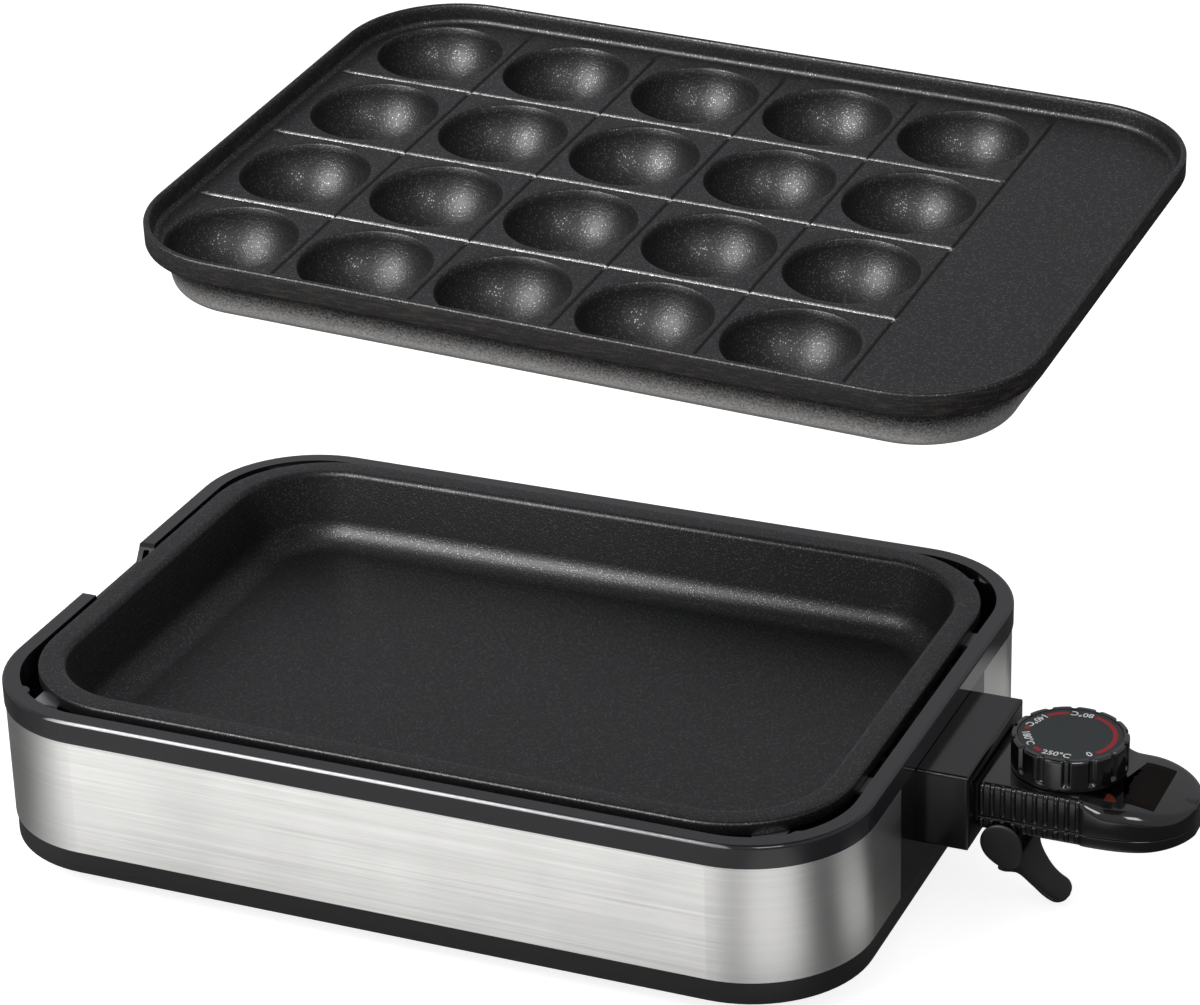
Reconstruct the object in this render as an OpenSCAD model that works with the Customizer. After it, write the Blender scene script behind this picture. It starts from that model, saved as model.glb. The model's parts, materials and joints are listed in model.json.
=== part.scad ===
// Takoyaki maker: a hot plate with a seated flat plate, a takoyaki plate held above it
// and a plug-in temperature controller. Millimetres. The origin is the centre of the
// base's underside, +X points to the controller, +Z is up. The feet reach below z = 0.

/* [Base] */
// Length of the base, without the controller
body_l = 385; // [360:1:480]
// Depth of the base
body_w = 273; // [250:1:340]
// Outer radius of the base's corners
corner_r = 52; // [46:1:60]
// Height of the black plinth
plinth_h = 10; // [8:0.5:14]
// Height of the steel band
band_h = 52; // [50:1:60]
// Thickness of the steel band
band_t = 0.8; // [0.6:0.1:1.2]
// Height of the black top frame
frame_h = 10; // [9:0.5:14]
// Width of the top frame's upper face
frame_face = 7.5; // [6.5:0.5:9]
// Wall of the moulded parts
wall_t = 2.5; // [2:0.1:3]
// Height of the feet
foot_h = 9; // [7:0.5:14]
// Diameter of the feet
foot_d = 20; // [16:1:24]
// Width of the finger notch in the frame
notch_w = 52; // [40:1:60]
// Depth of the finger notch
notch_h = 8; // [6:0.5:8.5]
// Place of the notch along the depth
notch_y = -4; // [-10:1:10]

/* [Plates] */
// Length of both plates over the rim
plate_l = 362; // [340:1:362]
// Depth of both plates over the rim
plate_w = 252; // [232:1:252]
// Corner radius of the flat plate's rim
plate_r = 52; // [46:1:56]
// Height of the flat plate's rim above the frame
rim_proud = 2.4; // [1:0.2:4]
// Width of the flat plate's flange
flange_w = 9; // [7:0.5:10]
// Depth of the flat plate inside
plate_depth = 32; // [26:1:33]
// Thickness of the flat plate
plate_t = 3.5; // [3:0.1:4]
// Corner radius of the takoyaki plate's rim
tako_r = 46; // [42:1:50]
// Depth of the takoyaki plate's deck below its rim
deck_depth = 8; // [6:0.5:9]
// Thickness of the takoyaki plate
tako_t = 3; // [2.5:0.1:3.5]
// Diameter of a cavity at the deck
cavity_d = 52; // [44:0.5:53]
// Depth of a cavity
cavity_depth = 23; // [18:0.5:24]
// Distance between cavities along the length
pitch_x = 58; // [56:0.5:59]
// Distance between cavities along the depth
pitch_y = 60; // [56:0.5:60]
// Width of the bare strip at the right of the cavities
strip_w = 64; // [60:1:66]
// Height of the takoyaki plate's skirt below its lip
skirt_h = 19; // [15:0.5:20]

/* [Holding pose] */
// Angle between the level and the held takoyaki plate
hold_angle = 5.5; // [0:0.5:6]

/* [Terminal housing] */
// How far the housing stands out of the base
housing_l = 23; // [20:0.5:28]
// Width of the housing
housing_w = 72; // [66:1:80]
// Height of the housing
housing_h = 34; // [30:0.5:34]
// Width of the plug recess
recess_w = 54; // [50:1:56]
// Height of the plug recess
recess_h = 20; // [18:0.5:22]
// Radius of the terminal pins
pin_r = 2.5; // [2:0.1:3]
// Distance between the terminal pins
pin_gap = 28; // [24:1:30]

/* [Heater] */
// Radius of the heater tube
heater_r = 3.3; // [3:0.1:3.6]
// Distance between the heater's parallel runs
heater_pitch = 32; // [28:1:34]

/* [Controller] */
// Length of the controller
ctrl_l = 84; // [80:1:96]
// Width of the controller
ctrl_w = 56; // [54:1:64]
// Height of the controller's casing
ctrl_h = 21; // [20:0.5:24]
// Height of the lower shell
lower_h = 6; // [5:0.5:7]
// Wall of the controller's shells
shell_t = 2; // [1.6:0.1:2.4]
// Diameter of the dial
dial_d = 47.8; // [42:0.2:50]
// Height of the dial
dial_h = 14; // [11:0.5:16]
// Grooves round the dial
dial_grooves = 14; // [10:1:18]
// Radius of the dial's shaft
shaft_r = 3; // [2.5:0.1:3.4]
// Radius of the sensing rod
rod_r = 3; // [2.4:0.1:3.2]
// Radius of the cord's opening in the gland
cord_r = 3.75; // [3:0.05:4]
// Number of grip ribs on each side
rib_count = 10; // [6:1:12]
// Width of the release lever
lever_w = 18; // [14:1:22]
// Thickness of the release lever's tongue
lever_t = 2.6; // [2:0.1:3.2]
// Radius of the lever's pin
lever_pin_r = 1.5; // [1.2:0.1:1.8]

/* [Hidden] */
$fn = 64;
// Radial clearance of a running fit
run_gap = 0.06;
// Clearance between parts that are put together
fit_gap = 0.3;
// A cut reaches this far past a face
past = 1;

// Screws: one shank and one head for all
screw_r = 1.5;
head_r = 3;
head_h = 2;
screw_bite = 6;

// Heights in the base
frame_z = plinth_h + band_h;
top_z = frame_z + frame_h;
rim_z = top_z + rim_proud;
floor_t = 3;
pad_size = [220, 140];
pad_r = 12;
pad_groove = [2, 0.6];
plinth_inset = 1.2;
band_inset = 0.6;
inner_inset = band_inset + band_t + 0.1;
side_x = body_l / 2;
side_y = body_w / 2;
lip_wall = 2.2;
frame_roof = 3;
edge_r = 1.5;
boss_r = 4;
boss_in = inner_inset + 0.5 + boss_r;

// Flat plate
lip_h = 6;
plate_floor_z = rim_z - plate_depth;
plate_under_z = plate_floor_z - plate_t;
flange_round = 3;
floor_round = 14;
wall_lean = 5;
wall_in = flange_w + flange_round;
floor_in = wall_in + wall_lean + floor_round;

// Takoyaki plate, from its rim's top edge down
tako_lip_h = deck_depth + 1;
deck_z = -deck_depth;
deck_under_z = deck_z - tako_t;
tako_rim_w = 2.2;
skirt_top_in = 6;
skirt_low_in = 10.5;
skirt_round = 6;
skirt_z = -tako_lip_h - skirt_h;
cavity_cols = 5;
cavity_rows = 4;
cavity_r = (pow(cavity_d / 2, 2) + pow(cavity_depth, 2)) / (2 * cavity_depth);
ball_z = deck_z - cavity_depth + cavity_r;
grid_x = plate_l / 2 - strip_w - cavity_cols * pitch_x;
grid_y = -cavity_rows * pitch_y / 2;
groove_w = 1.6;
groove_end = 6;

// The held takoyaki plate is the level one, turned about a far axis. Level, its skirt
// would reach stack_depth below the flat plate's rim.
stack_depth = 4.4;
stack_z = rim_z - stack_depth - skirt_z;
hold_axis = [0.886, 0.316, -0.339];
hold_point = [598, -2184, -373];

// Terminal housing and plug
plug_z = 45;
housing_x0 = side_x - band_inset;
housing_x1 = side_x - band_inset + housing_l;
housing_z1 = frame_z - 0.5;
housing_z0 = housing_z1 - housing_h;
housing_edge = 1.6;
recess_depth = 13;
recess_x = housing_x1 - recess_depth;
panel_y0 = -52;
panel_y1 = 54;
panel_gap = 0.2;
panel_in = band_inset + band_t;
panel_back = inner_inset + wall_t;
panel_rim = 1;
port_w = 44;
port_h = 22;
housing_screw_y = 31;

// Reflector tray, heater and supports
tray_in = 19;
tray_t = 0.8;
tray_z = 14;
tray_h = 14;
tray_post = [120, 75];
heater_gap = 2.3;
heater_z = plate_under_z - heater_gap - heater_r;
turn_r = heater_pitch / 2;
run_y = pin_gap / 2;
run_x0 = -(side_x - 83.5);
run_x1 = side_x - 67.5;
loop_r = 25;
loop_x = -(side_x - 67.5);
loop_y = run_y + 2 * heater_pitch;
rise = plug_z - heater_z;
rise_x = side_x - 24;
knee = 0.6 * heater_r;
heater_end = side_x - 6;
clip_x = [-70, 70];
clip_t = 1.2;
clip_top = 4;
support_t = 1.2;
support_w = 12;
support_reach = 11;
support_z = rim_z - lip_h - 0.2;
corner_support = [side_x - 32.5, side_y - 16.5];
end_support = [side_x - frame_face - 0.1, 66];

// Controller
ctrl_gap = 1;
ctrl_x = housing_x1 + ctrl_gap;
ctrl_end = ctrl_x + ctrl_l;
ctrl_z = 34;
part_z = ctrl_z + lower_h;
ctrl_top = ctrl_z + ctrl_h;
grip_l = 43;
grip_x = ctrl_x + grip_l;
nose_l = ctrl_l - grip_l;
nose_top = ctrl_top - 3;
nose_power = 2.4;
nose_full = 1.025;
nose_steps = 20;
rib_out = 1;
rib_w = 1.6;
dial_x = ctrl_x + 30;
dial_z = ctrl_top + 0.3;
dial_top = dial_z + dial_h;
dial_wall = 2;
groove_r = 2.4;
disc_r = dial_d / 2 - 2.6;
disc_t = 0.9;
disc_sink = 1.3;
hub_r = 6;
shaft_z0 = ctrl_top - 8;
shaft_z1 = dial_top - disc_sink - 2;
block_w = recess_w - 3;
block_h = recess_h - 3;
block_x0 = recess_x + 1.5;
block_x1 = ctrl_x + 8;
contact_r = pin_r + 1.3;
contact_x0 = block_x0 + 1;
contact_x1 = block_x1 - 1;
pin_x0 = heater_end;
pin_x1 = housing_x1 - 4;
guide_r = rod_r + 1.5;
guide_x0 = side_x - 16;
guide_x1 = recess_x + 1;
rod_x0 = guide_x0 - 1.5;
rod_x1 = ctrl_x + 14;
gland_r = 5.6;
gland_flange = 0.9;
gland_l = 9;
gland_z = 43;
gland_x = ctrl_end - gland_l;
lamp_at = [ctrl_x + 50, -15.5];
lamp_r = 2.5;
lamp_l = 12;
lens_r = 7;
lens_w = 5;
lens_t = 3;
mark_size = [13, 35];
mark_x = ctrl_x + 64;
mark_sink = 0.6;
pillar_r = 3.2;
pillars = [[ctrl_x + 14, 20.5], [ctrl_x + 14, -20.5], [ctrl_x + 61, 0]];
stat_x = dial_x + 1;
stat_w = 16;
blade_t = 0.5;
blade_z = [part_z + 1.4, part_z + 3.4];
clamp_x = gland_x - 8;

// Release lever: a yoke whose round ears stand outside the lower shell, and a tongue
// below its crossbar. Its points are measured from the pin.
lever_x = ctrl_x + 10.6;
lever_z = ctrl_z - 5;
lever_hub = 10.3;
lug_r = 4;
lug_w = 32;
ear_in = ctrl_w / 2 + 0.4;
ear_out = ear_in + 1.6;
yoke_floor = -8;
yoke_low = -11.5;
tongue = [[-4, -8], [-3.5, -13], [-1.6, -20], [5.3, -27.4], [12, -32.2], [21, -35.6]];

// ---------- shared shapes ----------

// Points of an arc, for profiles that are turned or extruded
function arc(cx, cy, r, a0, a1, steps = 6) =
    [for (i = [0:steps]) let (a = a0 + (a1 - a0) * i / steps) [cx + r * cos(a), cy + r * sin(a)]];

// A rectangle with round corners
module round_rect(l, w, r) {
    square([l - 2 * r, w], center = true);
    square([l, w - 2 * r], center = true);
    for (x = [-1, 1], y = [-1, 1])
        translate([x * (l / 2 - r), y * (w / 2 - r)]) circle(r);
}

// A flat slab with round corners, from z0 up
module slab(l, w, r, z0, t) {
    translate([0, 0, z0]) linear_extrude(t) round_rect(l, w, r);
}

// Carries a profile round a rectangle with round corners. The profile's x is minus the
// distance in from the outline, its y is the height.
module around(l, w, r) {
    for (i = [0:3]) {
        reach = (i % 2 == 0 ? l : w) / 2 - r;
        run = (i % 2 == 0 ? w : l) - 2 * r;
        rotate(90 * i) translate([reach, 0, 0]) {
            rotate([90, 0, 0]) linear_extrude(run, center = true) translate([r, 0]) children();
            translate([0, run / 2, 0]) rotate_extrude(angle = 90) translate([r, 0]) children();
        }
    }
}

module around_body() {
    around(body_l, body_w, corner_r) children();
}

// A rectangle of a profile, between two distances in and two heights
module strip(in0, in1, z0, z1) {
    translate([-in1, z0]) square([in1 - in0, z1 - z0]);
}

module rod_z(r, z0, z1) {
    translate([0, 0, z0]) cylinder(r = r, h = z1 - z0);
}

module rod_x(r, x0, x1) {
    translate([x0, 0, 0]) rotate([0, 90, 0]) cylinder(r = r, h = x1 - x0);
}

module rod_y(r, y0, y1) {
    translate([0, y0, 0]) rotate([-90, 0, 0]) cylinder(r = r, h = y1 - y0);
}

module block(x0, x1, y0, y1, z0, z1) {
    translate([x0, y0, z0]) cube([x1 - x0, y1 - y0, z1 - z0]);
}

// A block that stands on its face at x0, with its other edges rounded
module soft_block(x0, x1, y0, y1, z0, z1, r) {
    y = (y0 + y1) / 2;
    z = (z0 + z1) / 2;
    long = x1 - x0 + 2 * r;
    translate([x0, 0, 0]) intersection() {
        translate([0, y, z]) rotate([90, 0, 90]) linear_extrude(x1 - x0) round_rect(y1 - y0, z1 - z0, r);
        translate([x1 - x0 - long / 2, y, z0 - past])
            linear_extrude(z1 - z0 + 2 * past) round_rect(long, y1 - y0, r);
        translate([x1 - x0 - long / 2, y, z]) rotate([90, 0, 0])
            linear_extrude(y1 - y0 + 2 * past, center = true) round_rect(long, z1 - z0, r);
    }
}

// A screw that points up, its head's upper face at z = 0
module screw_up(length) {
    rod_z(head_r, -head_h, 0);
    rod_z(screw_r, -head_h / 2, length);
}

module four(p) {
    for (x = [-1, 1], y = [-1, 1]) translate([x * p[0], y * p[1], 0]) children();
}

// The four corners, at a distance in from the outline along the diagonal
module body_corners(inset) {
    d = (corner_r - inset) * cos(45);
    four([side_x - corner_r + d, side_y - corner_r + d]) children();
}

foot_at = [side_x - 37.5, side_y - 36.5];

// ---------- base ----------

module feet() {
    color("#1b1b1c") four(foot_at) difference() {
        rod_z(foot_d / 2, -foot_h, 0);
        rod_z(head_r + 0.5, -foot_h - past, -foot_h / 2);
        rod_z(screw_r + 0.2, -foot_h, past);
    }
}

module foot_screws() {
    color("silver") four(foot_at) translate([0, 0, -foot_h / 2]) screw_up(foot_h / 2 + screw_bite);
}

module pan_profile() {
    strip(plinth_inset, inner_inset + wall_t, 0, plinth_h);
    strip(plinth_inset, plinth_inset + wall_t + 4, 0, floor_t);
    strip(inner_inset, inner_inset + wall_t, plinth_h - 1, frame_z);
}

module pan_body() {
    inset = plinth_inset + wall_t + 2;
    slab(body_l - 2 * inset, body_w - 2 * inset, corner_r - inset, 0, floor_t);
    around_body() pan_profile();
    body_corners(boss_in) rod_z(boss_r, 0, frame_z);
    four(tray_post) rod_z(boss_r, 0, tray_z);
    four(foot_at) rod_z(boss_r, 0, screw_bite + 2);
}

// The groove that parts the middle of the underside from the margin with the feet
module pad_ring() {
    difference() {
        slab(pad_size[0] + 2 * pad_groove[0], pad_size[1] + 2 * pad_groove[0], pad_r + pad_groove[0],
             -past, past + pad_groove[1]);
        slab(pad_size[0], pad_size[1], pad_r, -2 * past, 4 * past);
    }
}

module bottom_pan() {
    color("#141415") difference() {
        pan_body();
        pad_ring();
        block(side_x - 8, side_x + past, panel_y0 + panel_rim, panel_y1 - panel_rim,
              plinth_h + 2, frame_z - 2);
        body_corners(boss_in) {
            rod_z(screw_r + 0.2, -past, frame_z + past);
            rod_z(head_r + 0.2, -past, head_h + 0.5);
        }
        four(tray_post) rod_z(screw_r, tray_z - screw_bite, tray_z + past);
        four(foot_at) rod_z(screw_r, -past, screw_bite + 0.1);
        supports_at() translate([support_reach / 2, 0, 0]) rod_z(screw_r, 0.5, floor_t + past);
        for (i = [-4:4], y = [-1, 1])
            block(22 * i - 2, 22 * i + 2, y * 35 - 20, y * 35 + 20, -past, floor_t + past);
    }
}

module frame_screws() {
    color("silver") body_corners(boss_in)
        translate([0, 0, head_h + 0.5]) screw_up(frame_z + screw_bite - head_h - 0.5);
}

module steel_band() {
    color("#c4c4c2") difference() {
        around_body() strip(band_inset, band_inset + band_t, plinth_h, frame_z);
        block(side_x - corner_r, side_x + past, panel_y0, panel_y1, 0, top_z);
    }
}

module side_panel() {
    color("#18181a") difference() {
        union() {
            block(side_x - panel_in, side_x - band_inset, panel_y0 + panel_gap, panel_y1 - panel_gap,
                  plinth_h + panel_gap, frame_z - panel_gap);
            block(side_x - panel_back, side_x - panel_in + 0.1,
                  panel_y0 + panel_rim + fit_gap, panel_y1 - panel_rim - fit_gap,
                  plinth_h + 2 + fit_gap, frame_z - 2 - fit_gap);
        }
        block(side_x - 10, side_x + past, -port_w / 2, port_w / 2,
              plug_z - port_h / 2, plug_z + port_h / 2);
        for (y = [-1, 1]) translate([0, y * housing_screw_y, plug_z])
            rod_x(screw_r + 0.1, side_x - 10, side_x + past);
    }
}

module frame_profile() {
    difference() {
        union() {
            strip(0, wall_t, frame_z, top_z);
            strip(0, frame_face, top_z - frame_roof, top_z);
            strip(frame_face - lip_wall, frame_face, frame_z, top_z);
        }
        translate([-edge_r, top_z - edge_r]) difference() {
            square(edge_r + past);
            circle(edge_r);
        }
    }
}

module notch() {
    slope = 4;
    rotate([90, 0, 90]) translate([notch_y, 0, -side_x - past])
        linear_extrude(frame_face + 2 * past) polygon([
            [-notch_w / 2 + slope, top_z - notch_h], [notch_w / 2 - slope, top_z - notch_h],
            [notch_w / 2, top_z - 2], [notch_w / 2 + 1, top_z + past],
            [-notch_w / 2 - 1, top_z + past], [-notch_w / 2, top_z - 2]]);
}

module top_frame() {
    color("#0f0f11") difference() {
        union() {
            around_body() frame_profile();
            body_corners(boss_in) rod_z(boss_r, frame_z, top_z - 1);
        }
        body_corners(boss_in) rod_z(screw_r, frame_z - past, frame_z + screw_bite + 0.2);
        notch();
    }
}

// Calls its children at each support, +X pointing into the base
module supports_at() {
    for (x = [-1, 1], y = [-1, 1])
        translate([x * corner_support[0], y * corner_support[1], 0]) rotate(-90 * y) children();
    for (y = [-1, 1]) translate([end_support[0], y * end_support[1], 0]) rotate(180) children();
}

module plate_supports() {
    color("#8f9092") supports_at() difference() {
        union() {
            block(0, support_t, -support_w / 2, support_w / 2, floor_t, support_z);
            block(0, support_reach, -support_w / 2, support_w / 2, support_z - support_t, support_z);
            block(0, support_reach, -support_w / 2, support_w / 2, floor_t, floor_t + support_t);
        }
        translate([support_reach / 2, 0, 0]) rod_z(screw_r + 0.1, 0, floor_t + 2 * support_t);
    }
}

module support_screws() {
    color("silver") supports_at() translate([support_reach / 2, 0, floor_t + support_t])
        rotate([180, 0, 0]) screw_up(support_t + floor_t - 0.6);
}

module reflector_tray() {
    l = body_l - 2 * tray_in;
    w = body_w - 2 * tray_in;
    r = corner_r - tray_in;
    rim = 4;
    color("#a9abad") difference() {
        union() {
            slab(l - 2 * rim, w - 2 * rim, r - rim, tray_z, tray_t);
            around(l, w, r) {
                strip(0, tray_t, tray_z, tray_z + tray_h);
                strip(0, rim + 2, tray_z, tray_z + tray_t);
            }
        }
        four(tray_post) rod_z(screw_r + 0.2, 0, tray_z + tray_h);
    }
}

module tray_screws() {
    color("silver") four(tray_post) translate([0, 0, tray_z + tray_t])
        rotate([180, 0, 0]) screw_up(screw_bite);
}

// A bend of the heater tube in the plane z = 0, turning about its own centre
module bend(radius, from, sweep) {
    rotate(from) rotate_extrude(angle = sweep) translate([radius, 0]) circle(heater_r);
}

// One half of the heater, on the +Y side
module heater_half() {
    translate([0, 0, heater_z]) {
        translate([0, run_y, 0]) rod_x(heater_r, run_x0, rise_x + knee);
        translate([run_x0, run_y + turn_r, 0]) bend(turn_r, 90, 180);
        translate([0, run_y + heater_pitch, 0]) rod_x(heater_r, run_x0, run_x1);
        translate([run_x1, run_y + 3 * turn_r, 0]) bend(turn_r, -90, 180);
        translate([0, loop_y, 0]) rod_x(heater_r, loop_x, run_x1);
        translate([loop_x, loop_y - loop_r, 0]) bend(loop_r, 90, 90);
        translate([loop_x - loop_r, 0, 0]) rod_y(heater_r, 0, loop_y - loop_r);
    }
    translate([rise_x, run_y, heater_z]) rotate([0, -45, 0]) rod_x(heater_r - 0.2, 0, rise * sqrt(2));
    translate([0, run_y, plug_z]) rod_x(heater_r, rise_x + rise - knee, heater_end);
}

module heater_element() {
    color("#5d5a57") {
        heater_half();
        mirror([0, 1, 0]) heater_half();
    }
}

module heater_clips() {
    clip_y0 = run_y - 8;
    clip_y1 = loop_y + 8;
    color("#9c9d9e") for (x = clip_x, side = [0, 1]) mirror([0, side, 0]) difference() {
        union() {
            block(x, x + clip_t, clip_y0, clip_y1, tray_z + tray_t, heater_z + clip_top);
            block(x, x + 9, clip_y0, clip_y1, tray_z + tray_t, tray_z + tray_t + clip_t);
        }
        for (i = [0:2]) translate([0, run_y + i * heater_pitch, heater_z])
            rod_x(heater_r + 0.05, x - past, x + clip_t + past);
    }
}

module end_insulators() {
    color("#e8e4da") for (y = [-1, 1]) translate([0, y * run_y, plug_z]) difference() {
        rod_x(heater_r + 2, heater_end - 1, housing_x0);
        rod_x(heater_r + 0.05, heater_end - 2, heater_end + 0.2);
        rod_x(pin_r + 0.05, heater_end - 2, housing_x0 + past);
    }
}

module terminal_pins() {
    color("#c9a24a") for (y = [-1, 1]) translate([0, y * run_y, plug_z]) {
        rod_x(pin_r, pin_x0, pin_x1 - pin_r);
        translate([pin_x1 - pin_r, 0, 0]) sphere(pin_r);
    }
}

module terminal_housing() {
    color("#161618") difference() {
        soft_block(housing_x0, housing_x1, -housing_w / 2, housing_w / 2,
                   housing_z0, housing_z1, housing_edge);
        block(recess_x, housing_x1 + past, -recess_w / 2, recess_w / 2,
              plug_z - recess_h / 2, plug_z + recess_h / 2);
        translate([0, 0, plug_z]) {
            rod_x(guide_r + 0.05, housing_x0 - past, recess_x + past);
            for (y = [-1, 1]) {
                translate([0, y * run_y, 0]) rod_x(pin_r + 0.05, housing_x0 - past, recess_x + past);
                translate([0, y * housing_screw_y, 0])
                    rod_x(screw_r, housing_x0 - past, housing_x0 + screw_bite + 0.2);
            }
        }
    }
}

module housing_screws() {
    color("silver") for (y = [-1, 1])
        translate([side_x - panel_back, y * housing_screw_y, plug_z]) rotate([0, 90, 0])
            screw_up(panel_back - band_inset + screw_bite);
}

module sensor_guide() {
    color("#b9bab8") translate([0, 0, plug_z]) difference() {
        rod_x(guide_r, guide_x0, guide_x1);
        rod_x(rod_r + run_gap, guide_x0 - past, guide_x1 + past);
    }
}

// ---------- plates ----------

// Section of the flat plate's wall, from the lip over the flange and down to the floor
module flat_profile() {
    low = floor_round + plate_t;
    polygon(concat(
        [[0, rim_z - lip_h]],
        arc(-1.2, rim_z - 1.2, 1.2, 0, 90, 4),
        arc(-flange_w, rim_z - flange_round, flange_round, 90, 170, 5),
        arc(-floor_in, plate_floor_z + floor_round, floor_round, -10, -90, 8),
        [[-floor_in - 2, plate_floor_z], [-floor_in - 2, plate_under_z]],
        arc(-floor_in, plate_floor_z + floor_round, low, -90, -10, 8),
        [[-flange_w + 1, rim_z - plate_t], [-2.6, rim_z - plate_t], [-2.2, rim_z - lip_h]]));
}

module flat_plate() {
    color("#26282a") {
        around(plate_l, plate_w, plate_r) flat_profile();
        slab(plate_l - 2 * floor_in, plate_w - 2 * floor_in, plate_r - floor_in,
             plate_under_z, plate_t);
    }
}

// Section of the takoyaki plate's rim, lip and skirt, z = 0 at the rim's top
module tako_profile() {
    polygon(concat(
        [[-1, -tako_lip_h], [0, -tako_lip_h + 1], [0, -0.8], [-0.8, 0], [-tako_rim_w, 0],
         [-tako_rim_w - 1, deck_z + 2.4]],
        arc(-tako_rim_w - 3.4, deck_z + 2.4, 2.4, 0, -90, 4),
        [[-skirt_low_in - 8, deck_z], [-skirt_low_in - 8, deck_under_z],
         [-skirt_top_in - tako_t - 1, deck_under_z]],
        arc(-skirt_low_in - skirt_round + 1.5, skirt_z + skirt_round, skirt_round - tako_t, 0, -90, 4),
        arc(-skirt_low_in - skirt_round + 1.5, skirt_z + skirt_round, skirt_round, -90, 0, 6),
        [[-skirt_top_in, -tako_lip_h - 1], [-skirt_top_in, -tako_lip_h]]));
}

// Calls its children at the centre of each cavity
module cavities_at() {
    for (i = [0:cavity_cols - 1], j = [0:cavity_rows - 1])
        translate([grid_x + (i + 0.5) * pitch_x, grid_y + (j + 0.5) * pitch_y, 0]) children();
}

module groove(from, to) {
    step = to - from;
    translate([from[0], from[1], deck_z]) rotate(atan2(step[1], step[0]))
        rotate([45, 0, 0]) translate([0, -groove_w / 2 * cos(45), -groove_w / 2 * cos(45)])
            cube([norm(step), groove_w * cos(45), groove_w * cos(45)]);
}

module grooves() {
    x0 = -plate_l / 2 + groove_end + 8;
    x1 = grid_x + cavity_cols * pitch_x;
    y1 = plate_w / 2 - groove_end;
    for (j = [1:cavity_rows - 1]) groove([x0, grid_y + j * pitch_y], [x1, grid_y + j * pitch_y]);
    for (i = [1:cavity_cols]) groove([grid_x + i * pitch_x, -y1], [grid_x + i * pitch_x, y1]);
}

module tako_level() {
    inset = skirt_low_in + 6;
    difference() {
        union() {
            around(plate_l, plate_w, tako_r) tako_profile();
            slab(plate_l - 2 * inset, plate_w - 2 * inset, tako_r - inset, deck_under_z, tako_t);
            cavities_at() intersection() {
                translate([0, 0, ball_z]) sphere(cavity_r + tako_t);
                rod_z(cavity_r + tako_t + 1, deck_z - 2 * cavity_r - tako_t, deck_z - tako_t / 2);
            }
        }
        cavities_at() translate([0, 0, ball_z]) sphere(cavity_r);
        grooves();
    }
}

module takoyaki_plate() {
    color("#1f2022") translate(hold_point) rotate(a = hold_angle, v = hold_axis)
        translate(-hold_point) translate([0, 0, stack_z]) tako_level();
}

// ---------- controller ----------

// Half width of the nose at a share of its length
function nose_half(t) = ctrl_w / 2 * sqrt(max(0, 1 - pow(t / nose_full, nose_power)));

// Outline of the controller from above, drawn in by a margin
module ctrl_outline(inset) {
    side = [for (i = [0:nose_steps]) let (t = i / nose_steps)
        [grip_x + (nose_l - inset) * t, max(nose_half(t) - inset, 1)]];
    polygon(concat(
        [[ctrl_x + inset, -ctrl_w / 2 + rib_out + inset], [ctrl_x + inset, ctrl_w / 2 - rib_out - inset],
         [grip_x, ctrl_w / 2 - rib_out - inset]],
        side,
        [for (i = [nose_steps:-1:0]) [side[i][0], -side[i][1]]],
        [[grip_x, -ctrl_w / 2 + rib_out + inset]]));
}

// Grip ribs on both sides, between two heights
module ribs(z0, z1) {
    step = (grip_l - rib_w) / (rib_count - 1);
    for (i = [0:rib_count - 1], y = [-1, 1]) {
        x = ctrl_x + i * step;
        mid = y * (ctrl_w / 2 - rib_out / 2);
        block(x, x + rib_w, mid - rib_out / 2 - 0.2, mid + rib_out / 2, z0, z1);
    }
}

module pillars_at() {
    for (p = pillars) translate([p[0], p[1], 0]) children();
}

// The opening in both shells' end walls for the socket block
module block_port() {
    block(ctrl_x - past, block_x1 + 0.1, -block_w / 2 - 0.1, block_w / 2 + 0.1,
          plug_z - block_h / 2 - 0.1, plug_z + block_h / 2 + 0.1);
}

module gland_port() {
    translate([0, 0, gland_z]) rod_x(gland_r + 0.05, gland_x - past, ctrl_end + past);
}

module leaf(r, w, z0, t) {
    off = r - w / 2;
    translate([lamp_at[0], lamp_at[1], z0]) rotate(-30) intersection() {
        translate([0, off, 0]) cylinder(r = r, h = t);
        translate([0, -off, 0]) cylinder(r = r, h = t);
    }
}

module upper_shell() {
    color("#121214") difference() {
        union() {
            difference() {
                union() {
                    translate([0, 0, part_z]) linear_extrude(nose_top - part_z) ctrl_outline(0);
                    block(ctrl_x, grip_x, -ctrl_w / 2 + rib_out, ctrl_w / 2 - rib_out, part_z, ctrl_top);
                    ribs(part_z, ctrl_top - 2);
                }
                difference() {
                    translate([0, 0, part_z - past])
                        linear_extrude(nose_top - shell_t - part_z + past) ctrl_outline(shell_t);
                    pillars_at() rod_z(pillar_r, part_z, ctrl_top - shell_t);
                }
            }
            translate([dial_x, 0, 0]) rod_z(hub_r, ctrl_top - 5, ctrl_top);
        }
        block_port();
        gland_port();
        translate([dial_x, 0, 0]) rod_z(shaft_r + run_gap, part_z, ctrl_top + past);
        pillars_at() rod_z(screw_r, part_z - past, part_z + screw_bite);
        leaf(lens_r + 0.1, lens_w + 0.2, nose_top - 3 * lens_t, 4 * lens_t);
        block(mark_x - mark_size[0] / 2, mark_x + mark_size[0] / 2,
              -mark_size[1] / 2, mark_size[1] / 2, nose_top - mark_sink, ctrl_top);
    }
}

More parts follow.
